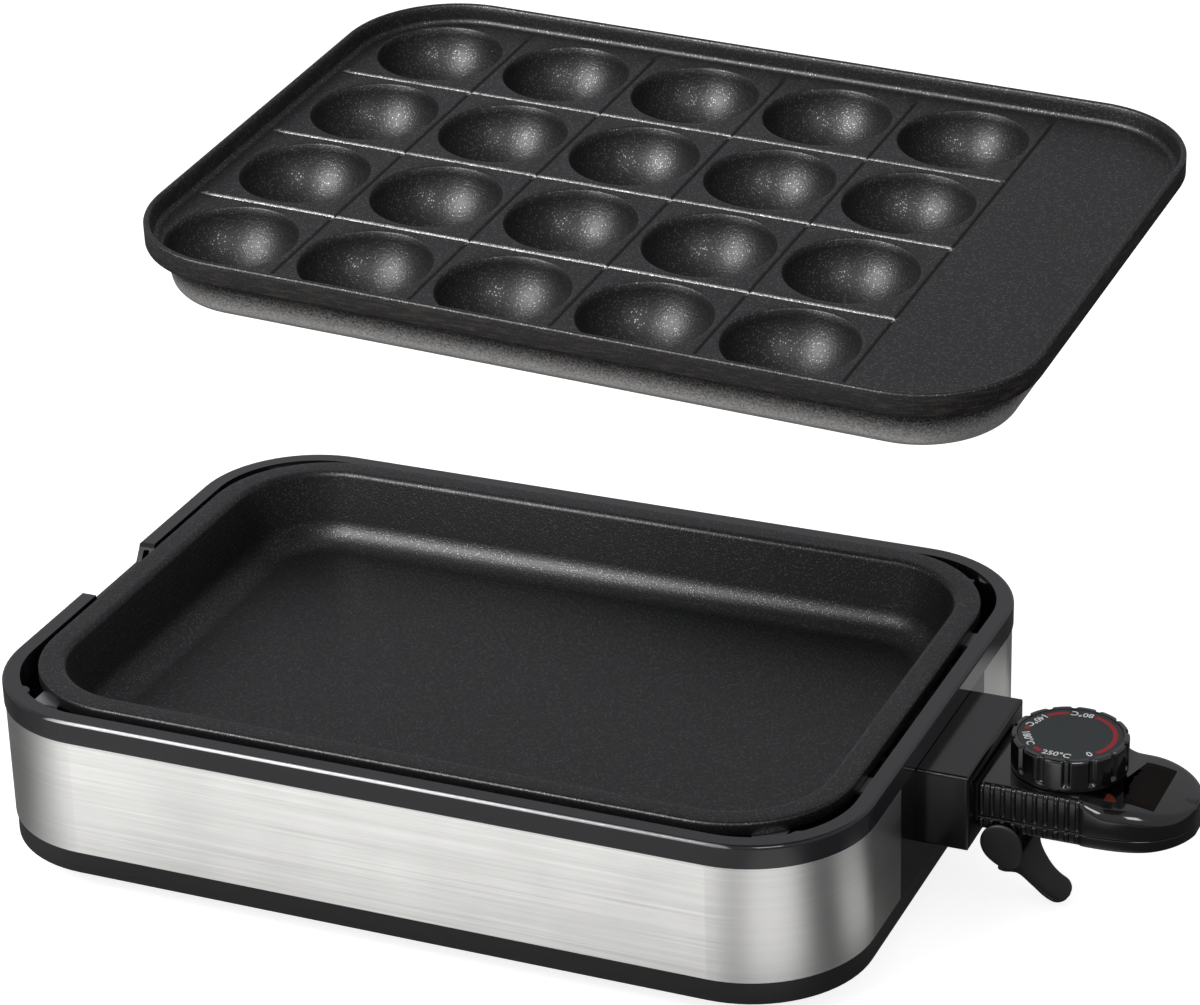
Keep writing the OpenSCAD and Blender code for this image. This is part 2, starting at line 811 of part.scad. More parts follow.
module lower_shell() {
    color("#121214") difference() {
        union() {
            difference() {
                union() {
                    translate([0, 0, ctrl_z]) linear_extrude(lower_h) ctrl_outline(0);
                    ribs(ctrl_z + 1, part_z);
                }
                difference() {
                    translate([0, 0, ctrl_z + shell_t]) linear_extrude(ctrl_h) ctrl_outline(shell_t);
                    pillars_at() rod_z(pillar_r, ctrl_z, part_z);
                }
            }
            translate([lever_x, 0, lever_z]) rod_y(lug_r, -lug_w / 2, lug_w / 2);
            block(lever_x - lug_r, lever_x + lug_r, -lug_w / 2, lug_w / 2, lever_z, ctrl_z + shell_t);
        }
        block_port();
        gland_port();
        pillars_at() {
            rod_z(screw_r + 0.1, ctrl_z - past, part_z + past);
            rod_z(head_r + 0.1, ctrl_z - past, ctrl_z + head_h);
        }
        translate([lever_x, 0, lever_z]) rod_y(lever_pin_r, -lug_w / 2 - past, lug_w / 2 + past);
    }
}

module shell_screws() {
    color("silver") pillars_at() translate([0, 0, ctrl_z + head_h])
        screw_up(lower_h - head_h + screw_bite - 0.5);
}

module socket_block() {
    color("#2a2725") difference() {
        block(block_x0, block_x1, -block_w / 2, block_w / 2,
              plug_z - block_h / 2, plug_z + block_h / 2);
        translate([0, 0, plug_z]) {
            rod_x(guide_r + 0.4, block_x0 - past, guide_x1 + 1);
            rod_x(rod_r + run_gap, block_x0 - past, block_x1 + past);
            for (y = [-1, 1]) translate([0, y * run_y, 0]) {
                rod_x(pin_r + 0.4, block_x0 - past, contact_x0 + past);
                rod_x(contact_r, contact_x0, block_x1 + past);
            }
        }
        pillars_at() rod_z(pillar_r + 0.2, ctrl_z, ctrl_top);
    }
}

module socket_contacts() {
    color("#c9a24a") for (y = [-1, 1]) translate([0, y * run_y, plug_z]) difference() {
        rod_x(contact_r, contact_x0, contact_x1);
        rod_x(pin_r + run_gap, contact_x0 - past, contact_x1 - 2);
    }
}

module sensor_rod() {
    color("#bcbdbb") translate([0, 0, plug_z]) {
        rod_x(rod_r, rod_x0 + rod_r, rod_x1);
        translate([rod_x0 + rod_r, 0, 0]) sphere(rod_r);
    }
}

module thermostat_base() {
    color("#e8e4da") block(stat_x - 12, stat_x + 12, -stat_w / 2, stat_w / 2,
                           ctrl_z + shell_t, blade_z[0]);
}

module thermostat_blades() {
    color("#b08a3e") for (z = blade_z)
        block(stat_x - 10, stat_x + 10, -2.5, 2.5, z, z + blade_t);
    color("#e8e4da") block(stat_x + 5, stat_x + 10, -2.5, 2.5, blade_z[0] + blade_t, blade_z[1]);
}

module contact_points() {
    color("#d9d9d6") translate([stat_x - 8, 0, 0]) {
        rod_z(1.2, blade_z[0] + blade_t, (blade_z[0] + blade_t + blade_z[1]) / 2);
        rod_z(1.2, (blade_z[0] + blade_t + blade_z[1]) / 2 + 0.1, blade_z[1]);
    }
}

module adjusting_screw() {
    color("#e8e4da") translate([dial_x, 0, 0]) rod_z(1.4, blade_z[1] + blade_t, shaft_z0 - 0.1);
}

module dial_shaft() {
    color("#a3a4a2") translate([dial_x, 0, 0]) rod_z(shaft_r, shaft_z0, shaft_z1);
}

module shaft_clip() {
    clip_z = ctrl_top - 5.2;
    color("#8a8b89") translate([dial_x, 0, 0]) difference() {
        rod_z(shaft_r + 2, clip_z - 0.8, clip_z);
        rod_z(shaft_r, clip_z - 2, clip_z + past);
    }
}

module dial() {
    color("#0d0d0f") translate([dial_x, 0, 0]) difference() {
        rod_z(dial_d / 2, dial_z, dial_top);
        difference() {
            rod_z(dial_d / 2 - dial_wall - groove_r / 2, dial_z - past, dial_top - disc_sink - 2);
            rod_z(hub_r, dial_z, dial_top);
        }
        rod_z(shaft_r, dial_z - past, shaft_z1);
        rod_z(disc_r + 0.1, dial_top - disc_sink, dial_top + past);
        for (i = [0:dial_grooves - 1]) rotate(360 * i / dial_grooves)
            translate([dial_d / 2 + groove_r * 0.55, 0, 0])
                rod_z(groove_r, dial_z - past, dial_top - 1.6);
    }
}

module dial_disc() {
    color("#34393a") translate([dial_x, 0, 0])
        rod_z(disc_r, dial_top - disc_sink, dial_top - disc_sink + disc_t);
}

module pilot_lens() {
    color("#b8622a") leaf(lens_r, lens_w, nose_top - lens_t, lens_t + 0.3);
}

module neon_lamp() {
    color("#e6b98c") translate([0, lamp_at[1] + 1, nose_top - shell_t - lamp_r - 1.4])
        rod_x(lamp_r, lamp_at[0] - lamp_l / 2, lamp_at[0] + lamp_l / 2);
}

module lamp_resistor() {
    color("#b49a72") translate([0, lamp_at[1] - 1, ctrl_z + shell_t + 1.5])
        rod_x(1.2, lamp_at[0] - 4, lamp_at[0] + 4);
}

module thermal_fuse() {
    color("#d2d2cf") translate([0, 14, ctrl_z + shell_t + 2.2]) rod_x(2, dial_x - 6, dial_x + 6);
}

// Leads from the sockets to the cord's clamp
module inner_leads() {
    lead_r = 1.2;
    lead_z = plug_z - 3;
    cross_l = 9;
    color("#b7433a") for (side = [0, 1]) mirror([0, side, 0]) translate([0, run_y + 1, lead_z]) {
        rod_x(lead_r, block_x1, clamp_x - 3);
        translate([clamp_x - 3, 0, 0]) rod_y(lead_r, -cross_l, 0);
    }
}

module cord_gland() {
    color("#0b0b0c") translate([0, 0, gland_z]) difference() {
        union() {
            rod_x(gland_r, gland_x, ctrl_end - 0.6);
            rod_x(gland_r + gland_flange, gland_x - 2.6, gland_x - past + 0.1);
        }
        rod_x(cord_r, gland_x - 3, ctrl_end + past);
    }
}

module cord_clamp() {
    color("#2b2b2d") block(clamp_x, clamp_x + 4, -7, 7, ctrl_z + shell_t, gland_z - cord_r);
}

// The tongue's middle line, offset to one side by half its thickness
function tongue_side(sign) = [for (i = [0:len(tongue) - 1])
    let (a = tongue[max(i - 1, 0)], b = tongue[min(i + 1, len(tongue) - 1)], d = (b - a) / norm(b - a))
    tongue[i] + sign * lever_t / 2 * [-d[1], d[0]]];

module lever_side() {
    up = tongue_side(1);
    down = tongue_side(-1);
    polygon(concat(up, [for (i = [len(tongue) - 1:-1:0]) down[i]]));
}

// The lever from the front: as wide as the yoke, then drawn in to the tongue
module lever_front() {
    half = lever_w / 2;
    side = [[ear_out, lever_hub + past], [ear_out, yoke_low], [half + 10, yoke_low - 3],
            [half + 3, yoke_low - 6.5], [half, yoke_low - 10.5], [half, 2 * yoke_low - 20]];
    polygon(concat(side, [for (i = [len(side) - 1:-1:0]) [-side[i][0], side[i][1]]]));
}

// The lever from above: square as far as the tongue's end, where it is round
module lever_plan() {
    tip = tongue[len(tongue) - 1][0];
    square_end = tip - lever_w * 0.3;
    translate([-lever_hub - 1, -ear_out - past])
        square([square_end + lever_hub + 1, 2 * ear_out + 2 * past]);
    translate([square_end - 0.5, 0]) scale([0.75, 1]) circle(lever_w / 2);
}

module release_lever() {
    color("#1d1d1e") translate([lever_x, 0, lever_z]) difference() {
        intersection() {
            union() {
                rotate([90, 0, 0]) linear_extrude(2 * ear_out, center = true) lever_side();
                rod_y(lever_hub, -ear_out, ear_out);
            }
            translate([-lever_hub - past, 0, 0]) rotate([90, 0, 90])
                linear_extrude(4 * lever_hub) lever_front();
            translate([0, 0, -60]) linear_extrude(80) lever_plan();
        }
        block(-lever_hub - past, lever_hub + past, -ear_in, ear_in, yoke_floor, lever_hub + past);
        rod_y(lever_pin_r + run_gap, -ear_out - past, ear_out + past);
    }
}

module lever_pin() {
    color("silver") translate([lever_x, 0, lever_z])
        rod_y(lever_pin_r, -ear_out + 0.3, ear_out - 0.3);
}

feet();
foot_screws();
bottom_pan();
frame_screws();
steel_band();
side_panel();
top_frame();
plate_supports();
support_screws();
reflector_tray();
tray_screws();
heater_element();
heater_clips();
end_insulators();
terminal_pins();
terminal_housing();
housing_screws();
sensor_guide();
flat_plate();
takoyaki_plate();
upper_shell();
lower_shell();
shell_screws();
socket_block();
socket_contacts();
sensor_rod();
thermostat_base();
thermostat_blades();
contact_points();
adjusting_screw();
dial_shaft();
shaft_clip();
dial();
dial_disc();
pilot_lens();
neon_lamp();
lamp_resistor();
thermal_fuse();
inner_leads();
cord_gland();
cord_clamp();
release_lever();
lever_pin();
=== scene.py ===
# %% [markdown]
# # A takoyaki maker, built round its CAD frame
#
# The object is a low electric hot plate: a base with a brushed steel band, a coated flat plate in it,
# a second plate with 20 round cavities held above it, and a plug-in controller with a dial. The CAD
# model already has every part at its real size. Here the parts that show most get smooth surfaces
# and all of them get finishes. Everything is in metres in the CAD's own frame, and the shapes below
# are worked out in millimetres and scaled once, when a mesh is made.

# %% Load the frame
import json

import bmesh
import bpy
import numpy as np
from mathutils import Matrix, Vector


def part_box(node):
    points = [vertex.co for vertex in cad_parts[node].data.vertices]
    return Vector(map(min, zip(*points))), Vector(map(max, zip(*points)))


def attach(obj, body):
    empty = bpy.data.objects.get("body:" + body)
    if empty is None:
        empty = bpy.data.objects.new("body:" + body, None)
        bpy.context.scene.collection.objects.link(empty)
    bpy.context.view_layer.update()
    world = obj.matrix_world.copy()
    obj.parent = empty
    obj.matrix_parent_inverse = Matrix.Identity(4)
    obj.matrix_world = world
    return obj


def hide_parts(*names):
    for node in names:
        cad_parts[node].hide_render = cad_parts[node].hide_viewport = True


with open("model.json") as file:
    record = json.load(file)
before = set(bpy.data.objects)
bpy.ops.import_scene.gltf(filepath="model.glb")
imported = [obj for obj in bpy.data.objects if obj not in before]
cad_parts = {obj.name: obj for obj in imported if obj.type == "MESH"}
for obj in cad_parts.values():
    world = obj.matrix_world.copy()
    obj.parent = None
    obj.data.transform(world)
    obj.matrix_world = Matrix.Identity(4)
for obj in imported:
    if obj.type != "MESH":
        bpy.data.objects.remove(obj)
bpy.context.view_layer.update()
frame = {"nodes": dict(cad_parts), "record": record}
MM = 0.001


def add_object(name, data):
    """Makes an object and puts it in the scene."""
    made = bpy.data.objects.new(name, data)
    bpy.context.scene.collection.objects.link(made)
    return made


def stand(made, x_axis, y_axis, z_axis, where):
    """Puts an object at a point in metres, with its own axes along the three given ones."""
    matrix = np.eye(4)
    matrix[:3] = np.stack([x_axis, y_axis, z_axis, where], 1)
    made.matrix_world = Matrix(matrix.tolist())


# %% [markdown]
# ## Camera
# The photograph was taken from the front right and from above, with a long lens. A camera is a
# point, three axes and a focal length. The axes could come from a "track to" constraint, but a
# matrix keeps the small roll that the photograph has, so the three axes are worked out here.

# %% Camera
eye = np.array([660.1, -1414.5, 880.9])
azimuth, elevation, roll = np.radians([23.61, 25.65, -1.69])
focal_px, photo_px, sensor_mm = 4138.0, 1200.0, 36.0
ahead = np.array([-np.sin(azimuth) * np.cos(elevation), np.cos(azimuth) * np.cos(elevation),
                  -np.sin(elevation)])
level = np.array([np.cos(azimuth), np.sin(azimuth), 0.0])
upright = np.cross(level, ahead)
right = np.cos(roll) * level + np.sin(roll) * upright
up = np.cos(roll) * upright - np.sin(roll) * level
camera = add_object("camera", bpy.data.cameras.new("camera"))
camera.data.sensor_width = sensor_mm
camera.data.lens = focal_px / photo_px * sensor_mm
camera.data.clip_end = 50
stand(camera, right, up, -ahead, eye * MM)
bpy.context.scene.camera = camera
bpy.context.scene.view_settings.view_transform = "Standard"
print("lens", round(camera.data.lens, 1), "mm")

# %% [markdown]
# ## Shader expressions
# A finish is a small sum: take a noise, stretch it, mix two colours with it. In the node editor that
# is many boxes and wires. The class below wraps one socket, so that `1 - mask * 0.5` adds the Math
# nodes by itself. `Finish` holds one material, makes any other node with one method and keeps the
# material in `looks` under its name.


# %% Shader helpers
looks = {}
white = (1.0, 1.0, 1.0)


class Value:
    """One output socket of a material. +, -, * and / on it add Math nodes."""

    def __init__(self, finish, socket):
        self.finish, self.socket = finish, socket

    def math(self, kind, *inputs):
        return self.finish.node("Math", {"operation": kind}, dict(enumerate(inputs)))

    def __add__(self, other):
        return self.math("ADD", self, other)

    def __sub__(self, other):
        return self.math("SUBTRACT", self, other)

    def __rsub__(self, other):
        return self.math("SUBTRACT", other, self)

    def __mul__(self, other):
        return self.math("MULTIPLY", self, other)

    def __truediv__(self, other):
        return self.math("DIVIDE", self, other)

    __radd__, __rmul__ = __add__, __mul__

    def other(self, output):
        """Another output of the same node."""
        return Value(self.finish, self.socket.node.outputs[output])

    def step(self, low, high):
        """0 below low, 1 above high, a smooth rise between them."""
        return self.finish.node("MapRange", {"interpolation_type": "SMOOTHSTEP"},
                                {0: self, 1: low, 2: high, 3: 0.0, 4: 1.0})


class Finish:
    """One material: a Principled shader and what feeds it. With a world's tree it starts empty."""

    def __init__(self, name, tree=None, **numbers):
        if tree:
            self.tree = tree
            self.tree.nodes.clear()
            return
        self.material = looks[name] = bpy.data.materials.new(name)
        self.material.use_nodes = True
        self.tree = self.material.node_tree
        self.tree.nodes.clear()
        self.shader = self.tree.nodes.new("ShaderNodeBsdfPrincipled")
        out = self.tree.nodes.new("ShaderNodeOutputMaterial")
        self.tree.links.new(self.shader.outputs[0], out.inputs[0])
        for key, value in numbers.items():
            self.feed(self.shader.inputs[key.replace("_", " ")], value)

    def feed(self, socket, value):
        if isinstance(value, Value):
            self.tree.links.new(value.socket, socket)
        elif socket.type == "RGBA" and len(value) == 3:
            socket.default_value = (*value, 1)
        else:
            socket.default_value = value

    def node(self, kind, settings=None, inputs=None, out=0):
        made = self.tree.nodes.new("ShaderNode" + kind)
        for key, value in (settings or {}).items():
            setattr(made, key, value)
        for key, value in (inputs or {}).items():
            self.feed(made.inputs[key], value)
        return Value(self, made.outputs[out])

    def place(self, scale=(1, 1, 1), shift=(0, 0, 0)):
        """Object coordinates in metres, moved and then stretched."""
        here = self.node("TexCoord", out="Object")
        moved = self.node("VectorMath", {"operation": "ADD"}, {0: here, 1: shift})
        return self.node("VectorMath", {"operation": "MULTIPLY"}, {0: moved, 1: scale})

    def xyz(self, **how):
        """The three coordinates that place() gives, one by one."""
        split = self.node("SeparateXYZ", None, {0: self.place(**how)})
        return [split.other(k) for k in range(3)]

    def noise(self, size_mm, detail=2.0, stretch=(1, 1, 1)):
        """Soft noise, its blobs about size_mm across where stretch is 1."""
        return self.node("TexNoise", None, {"Vector": self.place(stretch), "Scale": 1 / (size_mm * MM),
                                            "Detail": detail})

    def mix(self, share, low, high):
        return self.node("Mix", {"data_type": "RGBA"}, {0: share, 6: low, 7: high}, out=2)

    def bump(self, height, depth_mm, strength=1.0):
        """Height runs from 0 to 1 and stands for depth_mm."""
        normal = self.node("Bump", None, {"Strength": strength, "Distance": depth_mm * MM,
                                          "Height": height})
        self.feed(self.shader.inputs["Normal"], normal)

    def colour(self, value):
        self.feed(self.shader.inputs["Base Color"], value)

    def rough(self, value):
        self.feed(self.shader.inputs["Roughness"], value)

    def metal(self, value):
        self.feed(self.shader.inputs["Metallic"], value)

    def attribute(self, name):
        return self.node("Attribute", {"attribute_name": name}, out="Fac")


def shade(colour, times):
    return tuple(min(1.0, c * times) for c in colour)


# %% [markdown]
# ## Finishes of the small parts
# Moulded plastic, plated sheet and ceramic differ in four things: colour, how far the gloss spreads,
# how metallic they are and the grain of the surface. One recipe covers them. A slow noise varies the
# colour and the gloss a little, as handling and moulding do, and a fine noise gives the grain.


# %% The general recipe
def plain(name, colour, rough, grain_mm, depth_mm, metal=0.0, vary=0.15, spread=0.05,
          stretch=(1, 1, 1), **more):
    made = Finish(name, Metallic=metal, **more)
    slow = made.noise(9, 3)
    fine = made.noise(grain_mm, 2, stretch)
    made.colour(made.mix(slow * 0.6 + fine * 0.4, shade(colour, 1 - vary), shade(colour, 1 + vary)))
    made.rough(slow * spread + fine * spread + (rough - spread))
    made.bump(fine, depth_mm)


plain("rubber_black", (0.012, 0.012, 0.012), 0.7, 0.5, 0.04)
plain("steel_screw", (0.6, 0.6, 0.58), 0.32, 0.4, 0.01, metal=1.0)
plain("plinth_black", (0.013, 0.013, 0.014), 0.3, 0.5, 0.006)
plain("panel_black", (0.006, 0.006, 0.007), 0.16, 2.0, 0.003, Specular_IOR_Level=0.3)
plain("zinc_sheet", (0.36, 0.36, 0.37), 0.4, 1.5, 0.01, metal=1.0, vary=0.25)
plain("aluminised", (0.55, 0.55, 0.56), 0.38, 3.0, 0.01, metal=1.0, vary=0.2)
plain("heater_sheath", (0.11, 0.1, 0.09), 0.5, 0.8, 0.03, metal=0.8, vary=0.3)
plain("ceramic", (0.72, 0.69, 0.6), 0.65, 0.4, 0.02)
plain("brass_contact", (0.72, 0.52, 0.2), 0.3, 0.6, 0.006, metal=1.0)
plain("housing_black", (0.005, 0.005, 0.006), 0.16, 1.2, 0.003, Specular_IOR_Level=0.45)
plain("rod_steel", (0.55, 0.55, 0.54), 0.28, 0.3, 0.006, metal=1.0, stretch=(0.1, 1, 1))
plain("bimetal", (0.55, 0.38, 0.15), 0.35, 0.5, 0.006, metal=1.0)
plain("silver_point", (0.8, 0.8, 0.78), 0.25, 0.3, 0.004, metal=1.0)
plain("lamp_glass", (0.8, 0.5, 0.3), 0.1, 1.0, 0.002, Alpha=0.6)
plain("resistor_body", (0.42, 0.28, 0.15), 0.5, 0.3, 0.01)
plain("fuse_case", (0.6, 0.6, 0.58), 0.3, 0.5, 0.006, metal=1.0)
plain("lead_red", (0.35, 0.035, 0.02), 0.5, 0.4, 0.01)
plain("gland_rubber", (0.006, 0.006, 0.006), 0.6, 0.4, 0.02)
plain("matte_black", (0.012, 0.012, 0.012), 0.5, 0.4, 0.01)
plain("lever_black", (0.011, 0.011, 0.0115), 0.5, 0.25, 0.03, spread=0.04, Specular_IOR_Level=0.3)
plain("controller_black", (0.004, 0.004, 0.0045), 0.12, 5.0, 0.004, spread=0.03,
      Specular_IOR_Level=0.75)
plain("dial_black", (0.004, 0.004, 0.0042), 0.1, 4.0, 0.003, spread=0.03, Specular_IOR_Level=0.9)
plain("amber_lens", (0.14, 0.03, 0.012), 0.14, 1.2, 0.01, vary=0.4)
plain("plate_mark", (0.006, 0.003, 0.002), 0.5, 0.6, 0.004, Specular_IOR_Level=0.05)
plain("print_white", (0.95, 0.95, 0.95), 0.45, 0.3, 0.004)
print(len(looks), "finishes from the general recipe")

# %% [markdown]
# The base's top frame is glossy, and the round edge along its front catches the light as a thin line.
# The line is too fine for the CAD's few facets, so the colour draws it. It lies between 70.7 and
# 71.95 mm, within 1.5 mm of the front, and fades to the right.

# %% Frame with a bright edge
gloss = Finish("gloss_black", Specular_IOR_Level=0.5)
slow, fine = gloss.noise(9, 3), gloss.noise(6, 2)
at_x, at_y, at_z = gloss.xyz(scale=(1 / MM, 1 / MM, 1 / MM))
edge = at_z.step(70.7, 71.0) * (1 - at_z.step(71.75, 71.95)) * (1 - at_y.step(-135.6, -135.0))
edge = edge * (1 - at_x.step(-20, 190) * 0.8) * at_x.step(-165, -130)
black = gloss.mix(slow, (0.015, 0.015, 0.017), (0.019, 0.019, 0.021))
gloss.colour(gloss.mix(edge, black, white))
gloss.rough(slow * 0.03 + fine * 0.03 + 0.07)
gloss.bump(fine, 0.003)

# %% [markdown]
# ## Brushed steel
# The band is stainless sheet, brushed along its length. Each scratch is much longer than it is wide,
# so a noise is squeezed in height and drawn out along the band. The gloss of such a sheet spreads
# across the scratches, which the shader's own anisotropy gives. Its cut top edge, the last half
# millimetre below the frame, gets a painted highlight: its colour is made white.

# %% Brushed steel
steel = Finish("brushed_band", Metallic=1.0, Anisotropic=0.8, Anisotropic_Rotation=0.25)
streaks = steel.noise(1, 2, (0.012, 0.012, 4.5))
long_streaks = steel.noise(1, 2, (0.004, 0.004, 0.8))
mottle = steel.noise(30, 2)
sheet = steel.mix(streaks * 0.5 + long_streaks * 0.5, (0.69, 0.685, 0.665), (0.9, 0.895, 0.875))
height = steel.xyz()[2] / MM
# painted highlight: the top half millimetre of the band, under the frame, is made white
cut_edge_highlight = height.step(61.1, 61.6)
steel.colour(steel.mix(cut_edge_highlight, sheet, white))
steel.rough(streaks * 0.14 + mottle * 0.05 + 0.24)
steel.bump(streaks, 0.006, 0.5)

# %% [markdown]
# ## Non-stick coating
# The coating is sprayed and baked: nearly black, with an orange-peel surface and tiny bright flakes.
# Flakes are the centres of Voronoi cells, and only some cells have one, chosen by the cell's own
# random colour. A flake is metal: dark grey, but much more of a mirror than the paint, and tipped a
# little by the orange peel. So flakes only show as sparks in and round a highlight.


# %% Coated metal
def coated(name, colour, rough, flake_mm, share, peel_mm, glint=0.1, peel_depth=0.1, **more):
    """The finish, its colour, where its flakes are, and its roughness."""
    made = Finish(name, **more)
    spot = made.node("TexVoronoi", None, {"Vector": made.place(), "Scale": 1 / (flake_mm * MM)})
    which = made.node("SeparateColor", None, {0: spot.other("Color")})
    flake = (1 - spot.step(0.3, 0.55)) * which.step(1 - share - 0.02, 1 - share)
    peel = made.noise(peel_mm, 1)
    cloud = made.noise(40, 2)
    base = made.mix(cloud, shade(colour, 0.85), shade(colour, 1.15))
    made.bump(peel + flake * 0.2, peel_depth)
    flecked = made.mix(flake, base, shade((1, 1, 1.03), glint))
    return made, flecked, flake, peel * 0.1 + cloud * 0.04 + (rough - 0.07)


flat_coat, flat_colour, flat_flake, flat_rough = coated(
    "coated_cast", (0.0095, 0.01, 0.0105), rough=0.4, flake_mm=0.65, share=0.28, peel_mm=0.9,
    Specular_IOR_Level=0.28)
flat_coat.colour(flat_colour)
flat_coat.rough(flat_rough - flat_flake * 0.16)
flat_coat.metal(flat_flake * 0.85)

# %% [markdown]
# The second plate has the same coating on top. Its skirt is bare cast aluminium below, with black
# overspray that thins out downwards, and the lip is streaked brown. The lip and the skirt down to the
# bare metal are darkened further: on the lip that is its own darker colour, on the skirt partly the
# overspray and partly painted shade under the lip. Of the straight grooves between the cavities,
# those that run along the plate get a painted highlight and those that run across it painted shade.
# All of these follow the shape, so the mesh carries them: `down` is the way down the outside from the
# rim in millimetres and `groove` is 1 at the bottom of a groove with a painted highlight and -1 at
# the bottom of one with painted shade.

# %% Coated plate with a bare skirt
tako_coat, tako_colour, tako_flake, tako_rough = coated(
    "coated_tako", (0.0085, 0.0085, 0.0095), rough=0.43, flake_mm=0.8, share=0.32, peel_mm=1.0,
    Specular_IOR_Level=0.32)
down, groove_mark = tako_coat.attribute("down"), tako_coat.attribute("groove")
grit = tako_coat.noise(0.8, 3)
drawn = tako_coat.noise(1, 3, (0.12, 0.12, 1.1))
bare = (down + grit * 12 - 6).step(13, 27)
# painted highlight in the grooves along the plate; painted shade, black and rough, in the grooves
# across it
groove_highlight = groove_mark.step(0.1, 0.6) * (grit.step(0.32, 0.6) * 0.6 + 0.4)
groove_shade = (0 - groove_mark).step(0.15, 0.5)
# darkens the lip and the upper skirt: the lip's own colour, the overspray, and painted shade under the
# lip
lip_and_shade_below = down.step(0.5, 1.5) * (1 - bare)
painted = tako_coat.mix(groove_shade + lip_and_shade_below * 0.8, tako_colour, (0.002, 0.002, 0.002))
painted = tako_coat.mix(lip_and_shade_below * drawn.step(0.45, 0.8), painted, (0.045, 0.03, 0.024))
cast = tako_coat.mix(grit, (0.3, 0.295, 0.28), (0.6, 0.59, 0.57))
tako_coat.colour(tako_coat.mix(bare + groove_highlight * 0.75, painted, cast))
shiny = tako_flake * (1 - down.step(0.2, 1.0)) * (1 - groove_shade)
tako_coat.metal(bare * 0.7 + groove_highlight * 0.3 + shiny * 0.85)
tako_coat.rough(tako_rough - shiny * 0.16 + groove_shade * 0.4 + lip_and_shade_below * 0.25)

# %% [markdown]
# ## The dial's print
# The dial's disc is dark grey-green with a broken red arc near its edge. A print like this needs no
# picture: the distance from the centre and the angle round it say where the ink is.

# %% Printed disc
disc_lo, disc_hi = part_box("dial_disc")
disc_mid = [(a + b) / 2 for a, b in zip(disc_lo, disc_hi)]
disc = Finish("dial_face", Specular_IOR_Level=0.25)
x_out, y_out, _ = disc.xyz(shift=(-disc_mid[0], -disc_mid[1], 0))
radius = disc.node("Math", {"operation": "SQRT"}, {0: x_out * x_out + y_out * y_out}) / MM
angle = disc.node("Math", {"operation": "ARCTAN2"}, {0: y_out, 1: x_out}) * (180 / np.pi)
ring = radius.step(17.1, 17.25) * (1 - radius.step(19.0, 19.15))
full_turn = angle + 360 * (1 - angle.step(-100.0, -99.9))
inked = 0
for low, high in ((-38, 73), (109, 138), (176, 184), (234, 246)):
    around = full_turn if high > 180 else angle
    inked = around.step(low, low + 0.6) * (1 - around.step(high - 0.6, high)) + inked
fine = disc.noise(0.4, 2)
disc.colour(disc.mix(ring * inked, disc.mix(fine, (0.026, 0.032, 0.032), (0.036, 0.044, 0.044)),
                     (0.42, 0.008, 0.02)))
disc.rough(fine * 0.1 + 0.4)
disc.bump(fine, 0.004)
print("dial centre", [round(v / MM, 1) for v in disc_mid])

# %% [markdown]
# ## From arrays to a mesh
# Every new surface below is a grid of points: rows along one direction, columns along the other.
# Four neighbours make a face, and the last column joins the first, so each row is a closed ring. A
# pole is a row whose points all lie together, which the merge afterwards turns into one point.


# %% Mesh helpers
def quads(rows, columns, first):
    """Faces of a grid that is stored row after row, starting at point `first`."""
    i, j = np.meshgrid(np.arange(rows - 1), np.arange(columns), indexing="ij")
    a, b = i * columns + j, i * columns + (j + 1) % columns
    return np.stack([a, b, b + columns, a + columns], -1).reshape(-1, 4) + first


def sheets(*grids):
    """Several (rows, columns, 3) grids as one list of points and one of faces."""
    points, faces, count = [], [], 0
    for grid in grids:
        rows, columns = grid.shape[:2]
        points.append(grid.reshape(-1, 3))
        faces.append(quads(rows, columns, count))
        count += rows * columns
    return np.concatenate(points), np.concatenate(faces)


def piece(name, shape, body, slot, look=None, stands_for=(), sharp=32, marks=None):
    """Makes a piece from points in mm and faces. Points that coincide are merged, faces turned out."""
    points, faces = shape
    mesh = bpy.data.meshes.new(name)
    mesh.from_pydata((points * MM).tolist(), [], faces.tolist())
    for key, values in (marks or {}).items():
        mark = mesh.attributes.new(key, "FLOAT", "POINT")
        mark.data.foreach_set("value", values.astype(np.float32))
    work = bmesh.new()
    work.from_mesh(mesh)
    bmesh.ops.remove_doubles(work, verts=work.verts, dist=2e-6)
    bmesh.ops.recalc_face_normals(work, faces=work.faces)
    work.to_mesh(mesh)
    work.free()
    mesh.shade_smooth()
    mesh.set_sharp_from_angle(angle=np.radians(sharp))
    made = add_object(name, mesh)
    mesh.materials.append(looks[look or slot])
    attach(made, body)
    if stands_for:
        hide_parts(*stands_for)
    print(name, len(mesh.vertices), "points", len(mesh.polygons), "faces")


def lift(flat, height):
    """Flat points with a height as their third coordinate."""
    return np.concatenate([flat, np.broadcast_to(height, flat.shape[:-1])[..., None]], -1)


def arc(x, y, radius, start, end, steps):
    """Points on a circle from one angle to another, in degrees."""
    turn = np.radians(np.linspace(start, end, steps))
    return np.stack([x + radius * np.cos(turn), y + radius * np.sin(turn)], -1)


# %% [markdown]
# ## The flat plate
# The plate is one casting: a round lip, a flat flange, a wall that leans out and a wide soft fillet
# down to the floor. One profile, drawn as distance in from the outline against height, is carried
# round a rectangle with round corners. Moving in by a distance d just makes the corner's radius
# smaller by d, so every ring is exact. Past the fillet the rings shrink to a line and close the floor.


